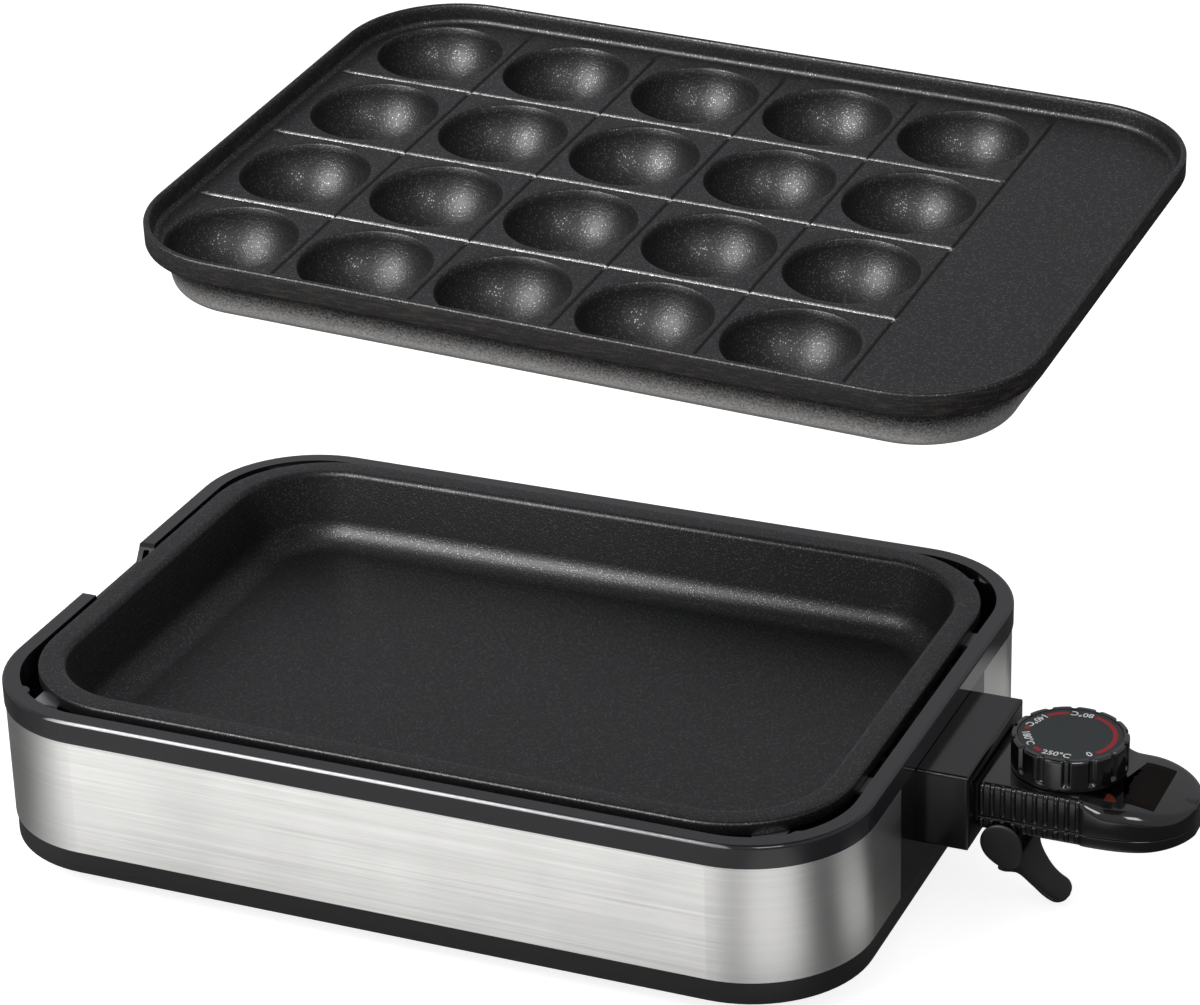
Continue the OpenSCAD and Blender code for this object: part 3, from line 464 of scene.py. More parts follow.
# %% Rings round a rectangle
def outline(length, width, radius, per_corner, per_side):
    """Core points round a rectangle and directions out of them: outline = core + direction * radius."""
    core, turn = [], []
    corners = [(1, -1), (1, 1), (-1, 1), (-1, -1)]
    for k, (sx, sy) in enumerate(corners):
        here = np.array([sx * (length / 2 - radius), sy * (width / 2 - radius)])
        there = np.array(corners[(k + 1) % 4]) * (length / 2 - radius, width / 2 - radius)
        angles = np.radians(-90 + 90 * k + np.linspace(0, 90, per_corner))
        core.append(np.repeat(here[None], per_corner, 0))
        turn.append(np.stack([np.cos(angles), np.sin(angles)], -1))
        share = (np.arange(per_side) + 1) / (per_side + 1)
        core.append(here + (there - here) * share[:, None])
        turn.append(np.repeat(turn[-1][-1:], per_side, 0))
    return np.concatenate(core), np.concatenate(turn)


def rings(profile, length, width, radius, per_corner=24, per_side=30):
    """profile rows are (distance in from the outline, height)."""
    core, turn = outline(length, width, radius, per_corner, per_side)
    return lift(core + turn * (radius - profile[:, None, :1]), profile[:, 1:])


def closed_floor(ring, steps=6):
    """Rings from `ring` in to a line along the middle: point * (1 - t) + line * t."""
    reach = np.abs(ring[:, 0]).max() - np.abs(ring[:, 1]).max()
    line = np.stack([np.clip(ring[:, 0], -reach, reach), ring[:, 1] * 0, ring[:, 2]], -1)
    t = np.linspace(0, 1, steps)[:, None, None]
    return ring[None] * (1 - t) + line[None] * t


# %% Flat plate
rim_z, floor_z, plate_t, floor_in, round_r = 74.4, 42.4, 3.5, 31.0, 14.0
inside = np.concatenate([
    [[2.3, rim_z - 6], [1.2, rim_z - 6], [0.35, rim_z - 5.8], [0, rim_z - 5.2]],
    arc(1.4, rim_z - 1.4, 1.4, 180, 90, 7), [[4, rim_z]],
    arc(9, rim_z - 3, 3, 90, 10, 9),
    arc(floor_in, floor_z + round_r, round_r, 190, 270, 22)])
under = np.concatenate([
    arc(floor_in, floor_z + round_r, round_r + plate_t, 270, 190, 14),
    [[8, rim_z - plate_t], [3, rim_z - plate_t], [2.6, rim_z - plate_t - 0.4], [2.3, rim_z - 6]]])
plate_size = dict(length=362, width=252, radius=52)
top_rings, low_rings = rings(inside, **plate_size), rings(under, **plate_size)
pan = sheets(top_rings, closed_floor(top_rings[-1]), low_rings, closed_floor(low_rings[0]))
piece("pan_flat", pan, "flat_plate_body", "coated_cast", stands_for=["flat_plate"])

# %% [markdown]
# ## The takoyaki plate
# The deck could be a height map on a square grid, but a cavity's wall is almost upright and would
# come out ragged. So each cavity gets its own round grid: rings from the pole up the ball, over the
# rounded mouth and out across the deck to the edge of its cell, where the groove is. Neighbouring
# cells have the same points on their shared edge, so the merge closes the deck. All 20 cells are
# worked out at once, as arrays with the cell as the first axis.

# %% Cells of the deck
cell_cols, cell_rows, side_steps = 5, 4, 20
pitch_x, pitch_y, grid_x0 = 58.0, 60.0, -173
grid_lines_x = grid_x0 + pitch_x * np.arange(cell_cols + 1)
grid_lines_y = pitch_y * np.arange(-cell_rows // 2, cell_rows // 2 + 1)
plate_l, plate_w, plate_r = 362.0, 252.0, 46.0
core_half = np.array([plate_l / 2 - plate_r, plate_w / 2 - plate_r])
ball_r, ball_above_deck, deck_z, deck_t = 26.2, 3.2, -8.0, 3.0


def cell_borders(inset):
    """x0, x1, y0, y1 of each cell, and the lines in y. Outer cells end `inset` from the outline."""
    lines_x, lines_y = grid_lines_x.copy(), grid_lines_y.copy()
    lines_x[0] = -plate_l / 2 + inset
    lines_y[0], lines_y[-1] = -plate_w / 2 + inset, plate_w / 2 - inset
    i, j = [a.ravel() for a in np.meshgrid(np.arange(cell_cols), np.arange(cell_rows), indexing="ij")]
    return np.stack([lines_x[i], lines_x[i + 1], lines_y[j], lines_y[j + 1]], -1), lines_y


def walk(x0, x1, y0, y1, steps):
    """Points round a rectangle, with so many steps along each of its four sides."""
    corners = np.array([[x0, y0], [x1, y0], [x1, y1], [x0, y1], [x0, y0]])
    return np.concatenate([here + (there - here) * (np.arange(n) / n)[:, None]
                           for here, there, n in zip(corners, corners[1:], steps)])


def cut_corners(centre, border, inset):
    """Pulls border points that lie past a round corner back to it, along the line to the centre."""
    radius = plate_r - inset
    core = np.sign(border) * core_half
    past = (np.abs(border) > np.abs(core)).all(-1) & (np.linalg.norm(border - core, axis=-1) > radius)
    ray, start = border - centre, centre - core
    a, b, c = (ray ** 2).sum(-1), 2 * (ray * start).sum(-1), (start ** 2).sum(-1) - radius ** 2
    share = (-b + np.sqrt(np.maximum(b * b - 4 * a * c, 0))) / (2 * a)
    return centre + ray * np.where(past, share, 1)[..., None]


def nearest_core(flat):
    """The core's nearest point: the core is the rectangle that the rim's corners turn round."""
    return np.sign(flat) * np.minimum(np.abs(flat), core_half)


def on_rim(border, inset):
    """True where a border point lies on the deck's outer edge and not on a groove."""
    return np.linalg.norm(border - nearest_core(border), axis=-1) > plate_r - inset - 1e-6


def deck_cells(inset):
    """Centres (20, 1, 2), borders (20, n, 2) and where they lie on the rim; the same of the strip."""
    boxes, lines_y = cell_borders(inset)
    centre = np.stack([(grid_lines_x[:-1] + pitch_x / 2).repeat(cell_rows),
                       np.tile(grid_lines_y[:-1] + pitch_y / 2, cell_cols)], -1)[:, None]
    border = np.stack([walk(*box, [side_steps] * 4) for box in boxes])
    strip_x1 = plate_l / 2 - inset
    middle = np.array([[(grid_lines_x[-1] + strip_x1) / 2, 0.0]])
    long_side, t = cell_rows * side_steps, np.arange(side_steps)
    rail = walk(grid_lines_x[-1], strip_x1, lines_y[0], lines_y[-1], [side_steps, long_side] * 2)
    rail[-long_side:, 1] = np.concatenate([
        a + (b - a) * t / side_steps for a, b in zip(lines_y[:0:-1], lines_y[-2::-1])])
    border, rail = cut_corners(centre, border, inset), cut_corners(middle, rail, inset)
    return centre, border, on_rim(border, inset), middle, rail, on_rim(rail, inset)


# %% [markdown]
# A groove is a V along each inner border, 2 mm wide. The last ring of a cell is its bottom, and the
# ring before it lies 1 mm away from the border, measured square to it. At the rim the last ring
# stays level, because no groove is there.


# %% Rings of the deck
groove_half, groove_deep, mouth_r = 1.0, 0.85, 27.0


def rays(centre, border):
    """The way from the centre to each border point, and its length."""
    ray = border - centre
    return ray, np.linalg.norm(ray, axis=-1, keepdims=True)


def last_rings(centre, border, outer, mouth):
    """Deck rings from the mouth to the border: halfway, the groove's edge, its bottom."""
    bottom = np.where(outer, deck_z, deck_z - groove_deep)
    ray, length = rays(centre, border)
    side_on = np.abs(border - np.roll(border, 1, -2))
    along_x = (side_on[..., 0] > side_on[..., 1])[..., None]
    square = np.where(along_x, np.abs(ray[..., 1:]), np.abs(ray[..., :1]))
    back = np.minimum(groove_half * length / np.maximum(square, 1), length * 0.5)
    mouth_at = centre + ray / length * np.minimum(mouth, length - 0.2)
    level_edge, groove_edge = mouth_at + (border - mouth_at) * 0.7, border - ray / length * back
    edge = np.where(outer[..., None], level_edge, groove_edge)
    return [lift(mouth_at + (edge - mouth_at) * 0.5, deck_z), lift(edge, deck_z), lift(border, bottom)]


deck_in = 5.6
centre, border, outer, middle, rail, rail_outer = deck_cells(deck_in)
ray, length = rays(centre, border)
ball_end = 81.5
ball_angles = np.radians(np.linspace(0, ball_end, 16))
ball = [(ball_r * np.sin(a), deck_z + ball_above_deck - ball_r * np.cos(a)) for a in ball_angles]
ball += [(26.2, deck_z - 0.32), (26.55, deck_z - 0.08), (mouth_r, deck_z)]
# Where the rim cuts a corner cell, a ring that would pass it ends just short of it.
deck_rings = [lift(centre + ray / length * np.minimum(rho, length - 0.3 + rho * 0.004), z)
              for rho, z in ball]
cells = np.stack(deck_rings + last_rings(centre, border, outer, mouth_r), 1)
strip_pole = lift(middle + (rail - middle) * 0, deck_z)
strip = np.stack([strip_pole, *last_rings(middle, rail, rail_outer, 2.0)])
print("deck cells", cells.shape, "strip", strip.shape)


# %% [markdown]
# The rim goes on from the deck's own outer points. On a rectangle with round corners the direction
# out of the core is also the surface's normal, so each further ring is the deck's edge moved along
# it. The profile climbs the fillet, rolls over the rim, drops down the lip and follows the skirt to
# its curled foot and back up inside.


# %% Rim and skirt
def edge_loop(border, outer, rail, rail_outer):
    """The deck's outer points once each, in order round the plate from near the right end's middle."""
    first_turn = 0.0131
    loose = np.concatenate([border[outer], rail[rail_outer]])
    loose = loose[np.unique(np.round(loose, 3), axis=0, return_index=True)[1]]
    turn = (np.arctan2(loose[:, 1] / plate_w, loose[:, 0] / plate_l) - first_turn) % (2 * np.pi)
    return loose[np.argsort(turn)]


loop = edge_loop(border, outer, rail, rail_outer)
core = nearest_core(loop)
away = (loop - core) / np.linalg.norm(loop - core, axis=-1, keepdims=True)
curl = np.radians(np.linspace(0, 90, 9))
fillet_r, foot_in, foot_z = 2.4, 15.0, -22.0
rim_profile = np.concatenate([
    np.stack([deck_in - fillet_r * np.sin(curl), deck_z + fillet_r - fillet_r * np.cos(curl)], -1),
    [[2.8, -2.6], [2.45, -0.8], [2.1, -0.25], [1.7, -0.02], [1.1, 0.0], [0.6, -0.1], [0.2, -0.4],
     [0.0, -0.9], [0.0, -3], [0.0, -5.6], [0.0, -8.2], [0.25, -8.8], [0.8, -9.0], [3.5, -9.0],
     [5.9, -9.0], [6.0, -9.3]],
    np.stack([np.linspace(6.1, 9, 8), np.linspace(-10.5, foot_z, 8)], -1),
    *[np.stack([foot_in - foot_r * np.cos(turn), foot_z - foot_r * np.sin(turn)], -1)
      for foot_r, turn in ((6, curl[1:]), (3, curl[::-2]))],
    [[9.2, -18], [7.9, -15], [7.2, -13]]])
rim_grid = lift(core + away * (plate_r - rim_profile[:, None, :1]), rim_profile[:, 1:])

# %% [markdown]
# Under the deck each cavity is half an ellipsoid, 3 mm below the ball at its lowest point and thin at
# the mouth, because the corner cavities come within a millimetre of the skirt.

# %% Underside of the deck
low_in = 6.7
low_centre, low_border, low_outer, low_middle, low_rail, low_rail_outer = deck_cells(low_in)
ray, length = rays(low_centre, low_border)
bump_r, bump_deep, ball_z = ball_r + 0.4, ball_r + deck_t, deck_z + ball_above_deck
bump_mouth, bump_gap = 26.3, 0.05
reach = np.minimum(bump_mouth, length - bump_gap)
bumps = []
for share in np.sin(np.radians(np.linspace(0, 90, 12))):
    rho = reach * share
    bumps.append(np.concatenate([low_centre + ray / length * rho,
                                 ball_z - bump_deep * np.sqrt(1 - (rho / bump_r) ** 2)], -1))
bumps.append(lift(low_border, deck_z - deck_t))
low_cells = np.stack(bumps, 1)
low_strip = np.stack([lift(low_middle + (low_rail - low_middle) * t, deck_z - deck_t)
                      for t in (0, 0.5, 1)])
low_loop = edge_loop(low_border, low_outer, low_rail, low_rail_outer)
seam = np.stack([rim_grid[-1], lift(low_loop, deck_z - deck_t)])
print("rim points", len(loop), "underside", len(low_loop))

# %% [markdown]
# The plate is held in the air above the base, tipped a little. The turn is the CAD's own: 5.5
# degrees about a line that passes far behind the object. The object itself stays at the origin, so
# the turn goes into the points. Before the turn the skirt's foot is 4.4 mm below the flat plate's rim.

# %% Hold the plate
axis = np.array([0.886, 0.316, -0.339])
axis /= np.linalg.norm(axis)
through, tipped = np.array([598.0, -2184.0, -373.0]), np.radians(5.5)
cross = np.array([[0, -axis[2], axis[1]], [axis[2], 0, -axis[0]], [-axis[1], axis[0], 0]])
turn = np.eye(3) + np.sin(tipped) * cross + (1 - np.cos(tipped)) * cross @ cross
skirt_h, foot_below_rim = 28.0, 4.4
stack_z = rim_z - foot_below_rim + skirt_h

grids = [*cells, strip, rim_grid, seam, *low_cells, low_strip]
points, faces = sheets(*grids)
strip_at, rim_at = len(cells), len(cells) + 1
# the groove mark carries painted light: 1 for a groove along the plate (painted highlight), -1 for one
# across it (painted shade)
groove = [np.zeros(grid.shape[:2]) for grid in grids]
highlit_groove = ~outer & (np.abs(border[..., 1, None] - grid_lines_y[1:-1]) < 0.01).any(-1)
for k in range(strip_at):
    groove[k][-1] = np.where(highlit_groove[k], 1, np.where(outer[k], 0, -1))
groove[strip_at][-1] = np.where(rail_outer, 0, -1)

rim_top_row, all_bare = 13, 30.0
down_rim = np.where(np.arange(len(rim_profile)) > rim_top_row, -rim_profile[:, 1], 0)
down = [np.zeros(grid.shape[:2]) for grid in grids[:rim_at]]
down += [np.repeat(down_rim[:, None], len(loop), 1)]
down += [np.full(grid.shape[:2], all_bare) for grid in grids[rim_at + 1:]]
marks = {key: np.concatenate([g.ravel() for g in grids_of])
         for key, grids_of in (("down", down), ("groove", groove))}
held = through + (points + [0, 0, stack_z] - through) @ turn.T
piece("pan_takoyaki", (held, faces), "takoyaki_plate_body", "coated_tako",
      stands_for=["takoyaki_plate"], sharp=38, marks=marks)

# %% [markdown]
# ## The controller's shells
# The controller is two glossy mouldings: a lower tray and a cover. From above, its outline runs
# straight beside the dial and then closes in a blunt nose. The cover is a loft: at each station
# along its length the section goes up the side, over a round shoulder and across the flat top.
# Half the width at a share t of the nose is 27.8 * sqrt(1 - (t / 1.012) ** power). The near side is
# cut back more than the far side, so each side has its own power.

# %% Loft of the cover
ctrl_x0, ctrl_x1, grip_x1 = 215.9, 299.9, 258.9
grip_half, nose_wider, nose_past = 27.0, 0.8, 1.012
part_z, cover_top, tray_z = 40.0, 55.0, 34.0


def smooth_step(x, low, high):
    t = np.clip((x - low) / (high - low), 0, 1)
    return t * t * (3 - 2 * t)


def half_width(x, power):
    """From the middle to one side; a high power makes that side's corner blunt."""
    share = np.clip((x - grip_x1) / (ctrl_x1 - grip_x1), 0, 1)
    grip = grip_half + nose_wider * smooth_step(x, grip_x1 - 0.5, grip_x1 + 0.7)
    return grip * np.sqrt(np.maximum(1 - (share / nose_past) ** power, 0.0))


def loft(stations, low, high, shoulder, foot, steps=9):
    """Closed sections at each x. Bottom, top and corner radii are numbers or arrays over x."""
    low, high, shoulder, foot = [np.broadcast_to(value, stations.shape)[:, None]
                                 for value in (low, high, shoulder, foot)]
    turn, sides = np.linspace(0, np.pi / 2, steps), []
    sine, cosine = np.sin(turn), np.cos(turn)
    for sign, power in ((1, 4.5), (-1, 2.9)):
        half = half_width(stations, power)[:, None]
        top_r, foot_r = np.minimum(shoulder, half * 0.8), np.minimum(foot, half * 0.5)
        lower = np.stack([half - foot_r * (1 - sine), low + foot_r * (1 - cosine)], -1)
        upper = np.stack([half - top_r * (1 - cosine), high - top_r * (1 - sine)], -1)
        sides.append(np.concatenate([lower, upper], 1) * [sign, 1])
    section = np.concatenate([sides[0], sides[1][:, ::-1]], 1)
    flat = np.broadcast_to(stations[:, None, None], section.shape[:2] + (1,))
    return np.concatenate([flat, section], -1)


def capped(body):
    """Adds a first and a last row at the sections' centres, so that the loft's ends are closed."""
    ends = [np.broadcast_to(row.mean(0), row.shape)[None] for row in (body[0], body[-1])]
    return np.concatenate([ends[0], body, ends[1]])


stations = np.concatenate([
    [ctrl_x0, ctrl_x0 + 0.15, ctrl_x0 + 0.5], np.linspace(ctrl_x0 + 1.2, grip_x1 - 2, 12),
    np.linspace(grip_x1 - 1, ctrl_x1 - 9, 26),
    ctrl_x1 - 9 * (1 - np.sin(np.linspace(0.1, np.pi / 2, 16)))])
ends_round = 0.5 * (1 - np.clip((stations - ctrl_x0) / 0.5, 0, 1)) ** 2
top = cover_top - 3.0 * smooth_step(stations, grip_x1 - 3, grip_x1 + 9)
top = top - 4.5 * smooth_step(stations, ctrl_x1 - 26, ctrl_x1 + 4) - ends_round
soft = 2.6 + 2.4 * smooth_step(stations, grip_x1 - 2, grip_x1 + 12)
cover = loft(stations, low=part_z, high=top, shoulder=soft, foot=0.4)
tray = loft(stations, low=tray_z + smooth_step(stations, ctrl_x1 - 16, ctrl_x1 + 2),
            high=part_z - 0.25, shoulder=0.35, foot=1.8)

# %% [markdown]
# Ribs run down both sides so that fingers find hold when the plug is pulled. Each one is half an
# ellipse across, and it climbs the wall and wraps over the shoulder, where it catches the light. A
# rib is a tube: for each place along it, the outer line and the line inside the wall close a ring.


# %% Grip ribs
def ribs(low, high, wrap=0.0, count=10, width=2.4, proud=1.0, corner=2.6):
    """out = proud * sqrt(1 - v^2) * sqrt(1 - u^8); the rib wraps over the corner by `wrap` radians."""
    sunk, root = 0.05, 0.5
    u, v = np.meshgrid(np.sin(np.linspace(-1, 1, 25) * np.pi / 2), np.linspace(-1, 1, 9), indexing="ij")
    out = proud * np.sqrt(np.maximum(1 - v ** 2, 0)) * np.maximum(1 - u ** 8, 0) ** 0.5
    run = (u + 1) / 2 * (high - low + corner * wrap)
    turn = np.maximum(run - (high - low), 0) / corner
    wall_y = grip_half - corner * (1 - np.cos(turn))
    wall_z = low + np.minimum(run, high - low) + corner * np.sin(turn)
    grids = []
    for sign in (-1, 1):
        for x in ctrl_x0 + 1.4 + np.arange(count) * (grip_x1 - ctrl_x0 - 2.8) / (count - 1):
            outer_line, inner_line = [
                np.stack([x + v * width / 2, sign * (wall_y + rise * np.cos(turn)),
                          wall_z + rise * np.sin(turn)], -1) for rise in (out - sunk, out * 0 - root)]
            grids.append(capped(np.concatenate([outer_line, inner_line[:, ::-1]], 1)))
    return grids


piece("ctrl_cover", sheets(capped(cover), *ribs(part_z + 0.4, cover_top - 2.6, wrap=1.1)),
      "controller", "controller_black", stands_for=["upper_shell"], sharp=40)

# %% [markdown]
# Below the tray hangs a lug that carries the lever's pin. It is one outline, a half circle and two
# straight sides, that is drawn along the depth.

# %% Tray with its lug
pin_at, lug_r, lug_half = np.array([226.5, 29.0]), 4.0, 16.0
lug_line = pin_at + np.concatenate([arc(0, 0, lug_r, 180, 360, 17), [[lug_r, 6.5], [-lug_r, 6.5]]])
lug = np.stack([np.stack([lug_line[:, 0], lug_line[:, 0] * 0 + y, lug_line[:, 1]], -1)
                for y in (-lug_half, lug_half)])
piece("ctrl_tray", sheets(capped(tray), capped(lug), *ribs(tray_z + 1.2, part_z - 0.5)),
      "controller", "controller_black", stands_for=["lower_shell"], sharp=40)

# %% [markdown]
# The small plate on the nose is left bare. It is a thin rectangle with round corners and a rolled
# edge, in a dark brown finish, and it follows the nose's slope because its height is read from the
# cover's own top line.


# %% Bare plate on the nose
def slab_on_cover(x, y, length, width, radius, rise, sink=0.6):
    """A closed slab that lies on the cover's top, with its middle at x, y."""
    profile = np.array([[0, -sink], [0, rise * 0.4], [0.12, rise * 0.85], [0.35, rise]])
    shell = rings(profile, length, width, radius, 6, 6)
    flat = np.concatenate([shell, closed_floor(shell[-1])[1:]])
    under = np.interp(flat[..., 0] + x, stations, top)
    return np.stack([flat[..., 0] + x, flat[..., 1] + y, flat[..., 2] + under], -1)


nose_slab = slab_on_cover(279.6, 0, length=13, width=35, radius=0.8, rise=0.25)
piece("nose_plate", sheets(nose_slab), "controller", "controller_black", look="plate_mark", sharp=40)

# %% [markdown]
# ## The dial
# A round knob with 14 finger grooves. Its radius is a function of the angle and the height:
# radius = 23.9 - depth * groove(angle) * run(height), where groove() is 1 in the middle of a groove
# and falls off within a few degrees, and run() fades the groove out above the dial's foot.

# %% Dial
dial_mid, dial_r, dial_z0 = np.array([245.9, 0.0]), 23.9, 55.3
grooves, per_groove, finger_deep = 14, 30, 1.25
theta = np.arange(grooves * per_groove) * 2 * np.pi / (grooves * per_groove)
off_middle = np.abs((theta * grooves / (2 * np.pi) + 0.5) % 1 - 0.5) * 2
cutter = 1 - smooth_step(off_middle, 0.12, 0.36)
side_z = np.concatenate([[0.0, 0.25, 0.8], np.linspace(1.4, 3.4, 8), np.linspace(4, 11.6, 6),
                         [12.2, 12.8, 13.25, 13.6, 13.85, 13.97]])
foot_fade = smooth_step(side_z, 1.6, 3.2)
edge_r, edge_from = 1.2, 12.8
rolled = edge_r - np.sqrt(np.maximum(edge_r ** 2 - (side_z - edge_from) ** 2, 0))
round_in = np.where(side_z > edge_from, rolled, 0)
round_in += np.where(side_z < 0.3, 0.3 - side_z, 0)
side = dial_r - round_in[:, None] - finger_deep * foot_fade[:, None] * cutter[None]
top_in = np.array([[1.5, 14.0], [2.0, 14.0], [2.3, 13.95], [2.45, 13.7], [2.5, 12.7]])
top_side = dial_r - np.maximum(top_in[:, :1], np.minimum(1.3 + finger_deep * cutter, 2.4))
pole = np.zeros((1, len(theta)))
wide = np.concatenate([pole, pole + dial_r - 3, side, top_side, pole])
high = np.concatenate([[0, 0], side_z, top_in[:, 1], top_in[-1:, 1]])
knob = np.stack([dial_mid[0] + wide * np.cos(theta), dial_mid[1] + wide * np.sin(theta),
                 np.broadcast_to((dial_z0 + high)[:, None], wide.shape)], -1)
piece("dial_knob", sheets(knob), "dial_body", "dial_black", stands_for=["dial"], sharp=35)

# %% [markdown]
# The temperatures on the disc are plain numbers. Blender's own font makes a text object; it becomes
# a mesh, and each number is then turned and moved in its points to its place on the dial. Its upper
# side points to the dial's middle.


# %% Numbers on the dial
disc_top = 13.6


def number(text, size, at_radius, at_angle):
    """A mesh of the text, `at_radius` mm from the dial's middle; angles are in degrees."""
    curve = bpy.data.curves.new("text", "FONT")
    curve.body, curve.size, curve.extrude, curve.offset = text, size, 0.03, 0.07
    curve.align_x, curve.align_y = "CENTER", "CENTER"
    temporary = add_object("text", curve)
    bpy.context.view_layer.update()
    graph = bpy.context.evaluated_depsgraph_get()
    mesh = bpy.data.meshes.new_from_object(temporary.evaluated_get(graph))
    bpy.data.objects.remove(temporary)
    flat = np.zeros(len(mesh.vertices) * 3)
    mesh.vertices.foreach_get("co", flat)
    flat = flat.reshape(-1, 3)
    where, facing = np.radians(at_angle), np.radians(at_angle + 90)
    c, s = np.cos(facing), np.sin(facing)
    placed = np.stack([c * flat[:, 0] - s * flat[:, 1] + dial_mid[0] + at_radius * np.cos(where),
                       s * flat[:, 0] + c * flat[:, 1] + dial_mid[1] + at_radius * np.sin(where),
                       flat[:, 2] + dial_z0 + disc_top + 0.02], -1)
    mesh.vertices.foreach_set("co", (placed * MM).astype(np.float32).ravel())
    return mesh


print_work = bmesh.new()
for row in (("80°C", 4.6, 17.7, 91), ("140°C", 4.5, 17.7, 157), ("180°C", 4.5, 17.5, 209),
            ("250°C", 4.6, 17.5, 268), ("0", 4.8, 17.8, -48)):
    print_work.from_mesh(number(*row))
print_mesh = bpy.data.meshes.new("dial_numbers")
print_work.to_mesh(print_mesh)
print_work.free()
dial_numbers = add_object("dial_numbers", print_mesh)
print_mesh.materials.append(looks["print_white"])
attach(dial_numbers, "dial_body")

# %% [markdown]
# ## The release lever
# A finger pulls this lever to push the plug off its pins. It is a yoke: an ear stands outside each
# side of the tray, round but for a swelling towards the bar that joins them below. The bar runs into
# a tongue that is drawn in from the yoke's full width. Bar and tongue are one strip of changing width
# along an S-shaped line. Each section is an oval; towards the tip its upper side sinks in, where the
# finger rests. A row of `bones` is x and z from the pin, half the width and half the thickness.

# %% Lever
bones = np.array([[7.0, -7.8, 28.6, 1.0], [2.0, -8.6, 28.9, 1.3], [-0.6, -10.6, 29.2, 1.6],
                  [0.2, -15.0, 23.5, 1.7], [3.2, -20.5, 14.0, 1.6], [8.3, -27.0, 10.6, 1.5],
                  [13.6, -31.8, 9.8, 1.4], [20.9, -35.2, 9.4, 1.1]])
knots = np.concatenate([[0], np.cumsum(np.linalg.norm(np.diff(bones[:, :2], axis=0), axis=1))])
along = np.linspace(0, knots[-1], 90)


def spline(values):
    """Catmull-Rom curve through the knots, as one array over `along`."""
    k = np.clip(np.searchsorted(knots, along, side="right") - 1, 0, len(knots) - 2)
    t = ((along - knots[k]) / (knots[k + 1] - knots[k]))[:, None]
    padded = np.concatenate([2 * values[:1] - values[1:2], values, 2 * values[-1:] - values[-2:-1]])
    a, b, c, d = padded[k], padded[k + 1], padded[k + 2], padded[k + 3]
    square, cube = 2 * a - 5 * b + 4 * c - d, 3 * b - 3 * c + d - a
    return 0.5 * (2 * b + (c - a) * t + square * t ** 2 + cube * t ** 3)


swept = spline(bones)
line, lever_half, lever_thick = swept[:, :2], swept[:, 2], swept[:, 3]
step = np.gradient(line, axis=0)
step /= np.linalg.norm(step, axis=1, keepdims=True)
normal = np.stack([-step[:, 1], step[:, 0]], -1)
share = along / knots[-1]
tip_from, root_to = 0.88, 0.03
end_close, start_close = [
    np.sqrt(np.clip(1 - np.clip(past, 0, 1) ** 2, 0, 1))
    for past in ((share - tip_from) / (1 - tip_from), (root_to - share) / root_to)]
lever_half = lever_half * end_close
lever_thick = lever_thick * (0.35 + 0.65 * end_close) * start_close
around_it, blunt = np.linspace(0, 2 * np.pi, 48, endpoint=False), 0.6
across, lift_up = [np.sign(wave) * np.abs(wave) ** blunt
                   for wave in (np.cos(around_it), np.sin(around_it))]
dish = smooth_step(share, 0.74, 0.86)[:, None] * (1 - across[None] ** 2) * (lift_up[None] > 0)
offset = lever_thick[:, None] * lift_up[None] + dish * end_close[:, None]
tongue = np.stack([pin_at[0] + line[:, :1] - normal[:, :1] * offset,
                   lever_half[:, None] * across[None],
                   pin_at[1] + line[:, 1:] - normal[:, 1:] * offset], -1)
ear_section = np.array([[0, 28.4], [8.3, 28.4], [8.6, 28.5], [8.8, 28.8], [8.8, 29.2], [8.6, 29.6],
                        [8.1, 29.85], [7.2, 29.97], [0, 29.97]])
ear_lift, bar_at, swelling, swelling_wide = 0.8, -62, 0.33, 38
turned = arc(0, 0, 1, 0, 360, 65)[:-1]
off_bar = np.degrees(np.arctan2(turned[:, 1], turned[:, 0])) - bar_at
turned *= 1 + swelling * np.exp(-(off_bar / swelling_wide) ** 2)[:, None]
ears = [np.stack([pin_at[0] + ear_section[:, :1] * turned[:, 0],
                  np.broadcast_to(sign * ear_section[:, 1:], (len(ear_section), len(turned))),
                  pin_at[1] + ear_lift + ear_section[:, :1] * turned[:, 1]], -1) for sign in (-1, 1)]
piece("lever_tongue", sheets(capped(tongue), *ears), "lever_body", "lever_black",
      stands_for=["release_lever"], sharp=50)

# %% [markdown]
# ## Finishes on the CAD parts
# What is left of the frame keeps its CAD mesh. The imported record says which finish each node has,
# so one loop hangs them all.

# %% Finishes on the CAD parts
for row in frame["record"]["subparts"]:
    node = frame["nodes"][row["node"]]
    node.data.materials.clear()
    node.data.materials.append(looks[row["material_slot"]])

# %% [markdown]
# ## Floor, backdrop and light
# The photograph has a white ground and soft light. A white floor that is only lit would need so much
# light that the object turned grey. So the floor shows some white of its own, and how much depends on
# who looks: the camera sees it almost white with a faint shadow, and a mirror sees a glow in front of
# the base that fades to the sides, as a soft box would leave it on the steel band.


# %% Floor and world
def who_looks(finish):
    """Three values: 1 for camera rays, 1 for rays off a mirror, 1 for rays through glass."""
    path = finish.node("LightPath")
    return [path.other(f"Is {kind} Ray") for kind in ("Camera", "Glossy", "Transmission")]


def grey(value):
    return (value, value, value)


ground_z, floor_half = -0.0091, 6.0
floor_look = Finish("floor", Roughness=0.9, Emission_Strength=1.0)
camera_ray, mirror_ray, glass_ray = who_looks(floor_look)
grain = floor_look.noise(60, 2)
plain_white = floor_look.mix(grain, grey(0.6), grey(0.62))
floor_look.colour(floor_look.mix(1 - mirror_ray, grey(0.0), plain_white))


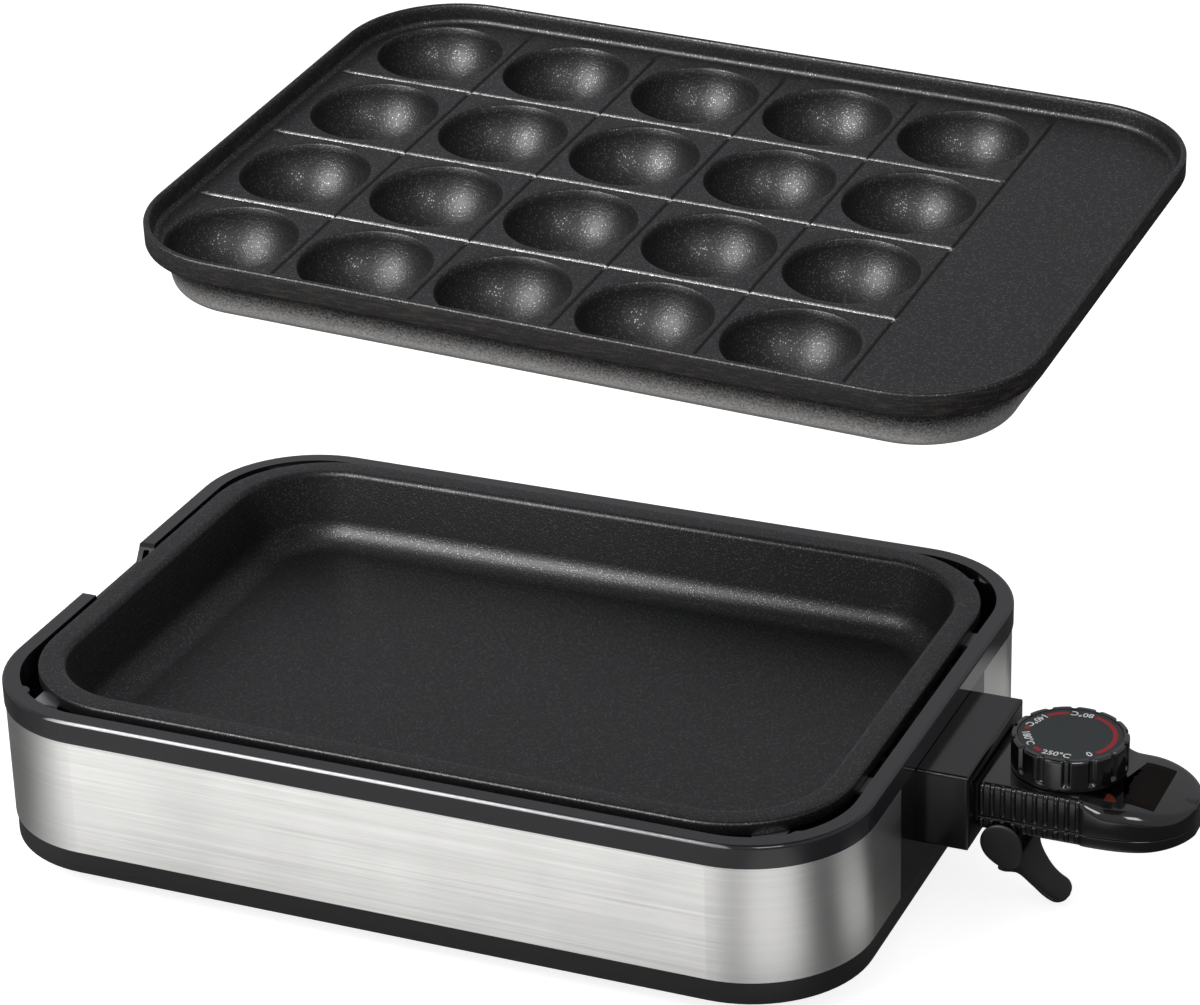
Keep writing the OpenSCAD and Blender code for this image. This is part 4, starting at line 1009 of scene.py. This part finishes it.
def spot_on_floor(x, y, inner, outer, squeeze=1.0):
    """1 within `inner` metres of a point on the floor, 0 past `outer`; x counts `squeeze` times."""
    here = floor_look.place(scale=(squeeze, 1, 1), shift=(-x, -y, -ground_z))
    away = floor_look.node("VectorMath", {"operation": "LENGTH"}, {0: here}, out="Value")
    return 1 - away.step(inner, outer)


glow = spot_on_floor(-0.05, -0.36, 0.06, 0.28, squeeze=0.38) * 0.6
for x, y, inner, outer_r, strength in (
        (-0.2, -0.2, 0.01, 0.09, 0.3), (0.23, -0.2, 0.02, 0.085, 0.95), (0.228, 0.17, 0.01, 0.04, 0.48),
        (0.258, -0.055, 0.015, 0.056, 0.5)):
    glow = glow + spot_on_floor(x, y, inner, outer_r) * strength
own = floor_look.mix(mirror_ray, grey(0.1), floor_look.mix(glow, grey(0.045), grey(1.0)))
floor_look.feed(floor_look.shader.inputs["Emission Color"],
                floor_look.mix(camera_ray + glass_ray, own, grey(0.84)))
corners = np.array([[-1, -1, 0], [1, -1, 0], [1, 1, 0], [-1, 1, 0]]) * floor_half + [0, 0, ground_z]
floor_mesh = bpy.data.meshes.new("floor")
floor_mesh.from_pydata(corners.tolist(), [], [(0, 1, 2, 3)])
floor_mesh.materials.append(floor_look.material)
floor = add_object("floor", floor_mesh)

world = bpy.data.worlds.new("studio")
bpy.context.scene.world = world
world.use_nodes = True
air = Finish("air", tree=world.node_tree)
camera_ray, mirror_ray, glass_ray = who_looks(air)
light_share = camera_ray + glass_ray + mirror_ray * 0.1
background = air.node("Background", None, {"Color": air.mix(light_share, (0.4, 0.4, 0.42), white)})
world_out = air.tree.nodes.new("ShaderNodeOutputWorld")
air.tree.links.new(background.socket, world_out.inputs[0])


# %% [markdown]
# Each lamp is either a light or a highlight. The soft ones light the surfaces but don't mirror in
# the gloss. Two are seen only by mirroring rays: a strong one on the left in front, which makes the
# glow in the cavities, and a weak one on the right for the controller's nose.


# %% Lamps
def lamp(name, toward, distance, size, watts, mirrored=False):
    """A square area lamp that shines at the middle of the object from the direction `toward`."""
    light = bpy.data.lights.new(name, "AREA")
    light.shape, light.size, light.energy = "SQUARE", size, watts
    made = add_object(name, light)
    made.visible_glossy, made.visible_diffuse = mirrored, not mirrored
    aim = np.array([0.05, 0.0, 0.12])
    back = np.array(toward) / np.linalg.norm(toward)
    side = np.cross([0, 0, 1], back)
    side /= np.linalg.norm(side)
    stand(made, side, np.cross(back, side), back, aim + back * distance)


key_from = (-0.40, -0.63, 0.66)
lamp("key", key_from, 1.8, 0.8, 12)
lamp("highlight", key_from, 1.8, 0.75, 70, mirrored=True)
lamp("nose_highlight", (0.45, -0.58, 0.68), 1.8, 0.6, 9, mirrored=True)
lamp("fill", (0.9, -0.35, 0.5), 2.2, 1.2, 1.5)
lamp("back", (-0.2, 0.9, 0.8), 2.2, 1.0, 5)
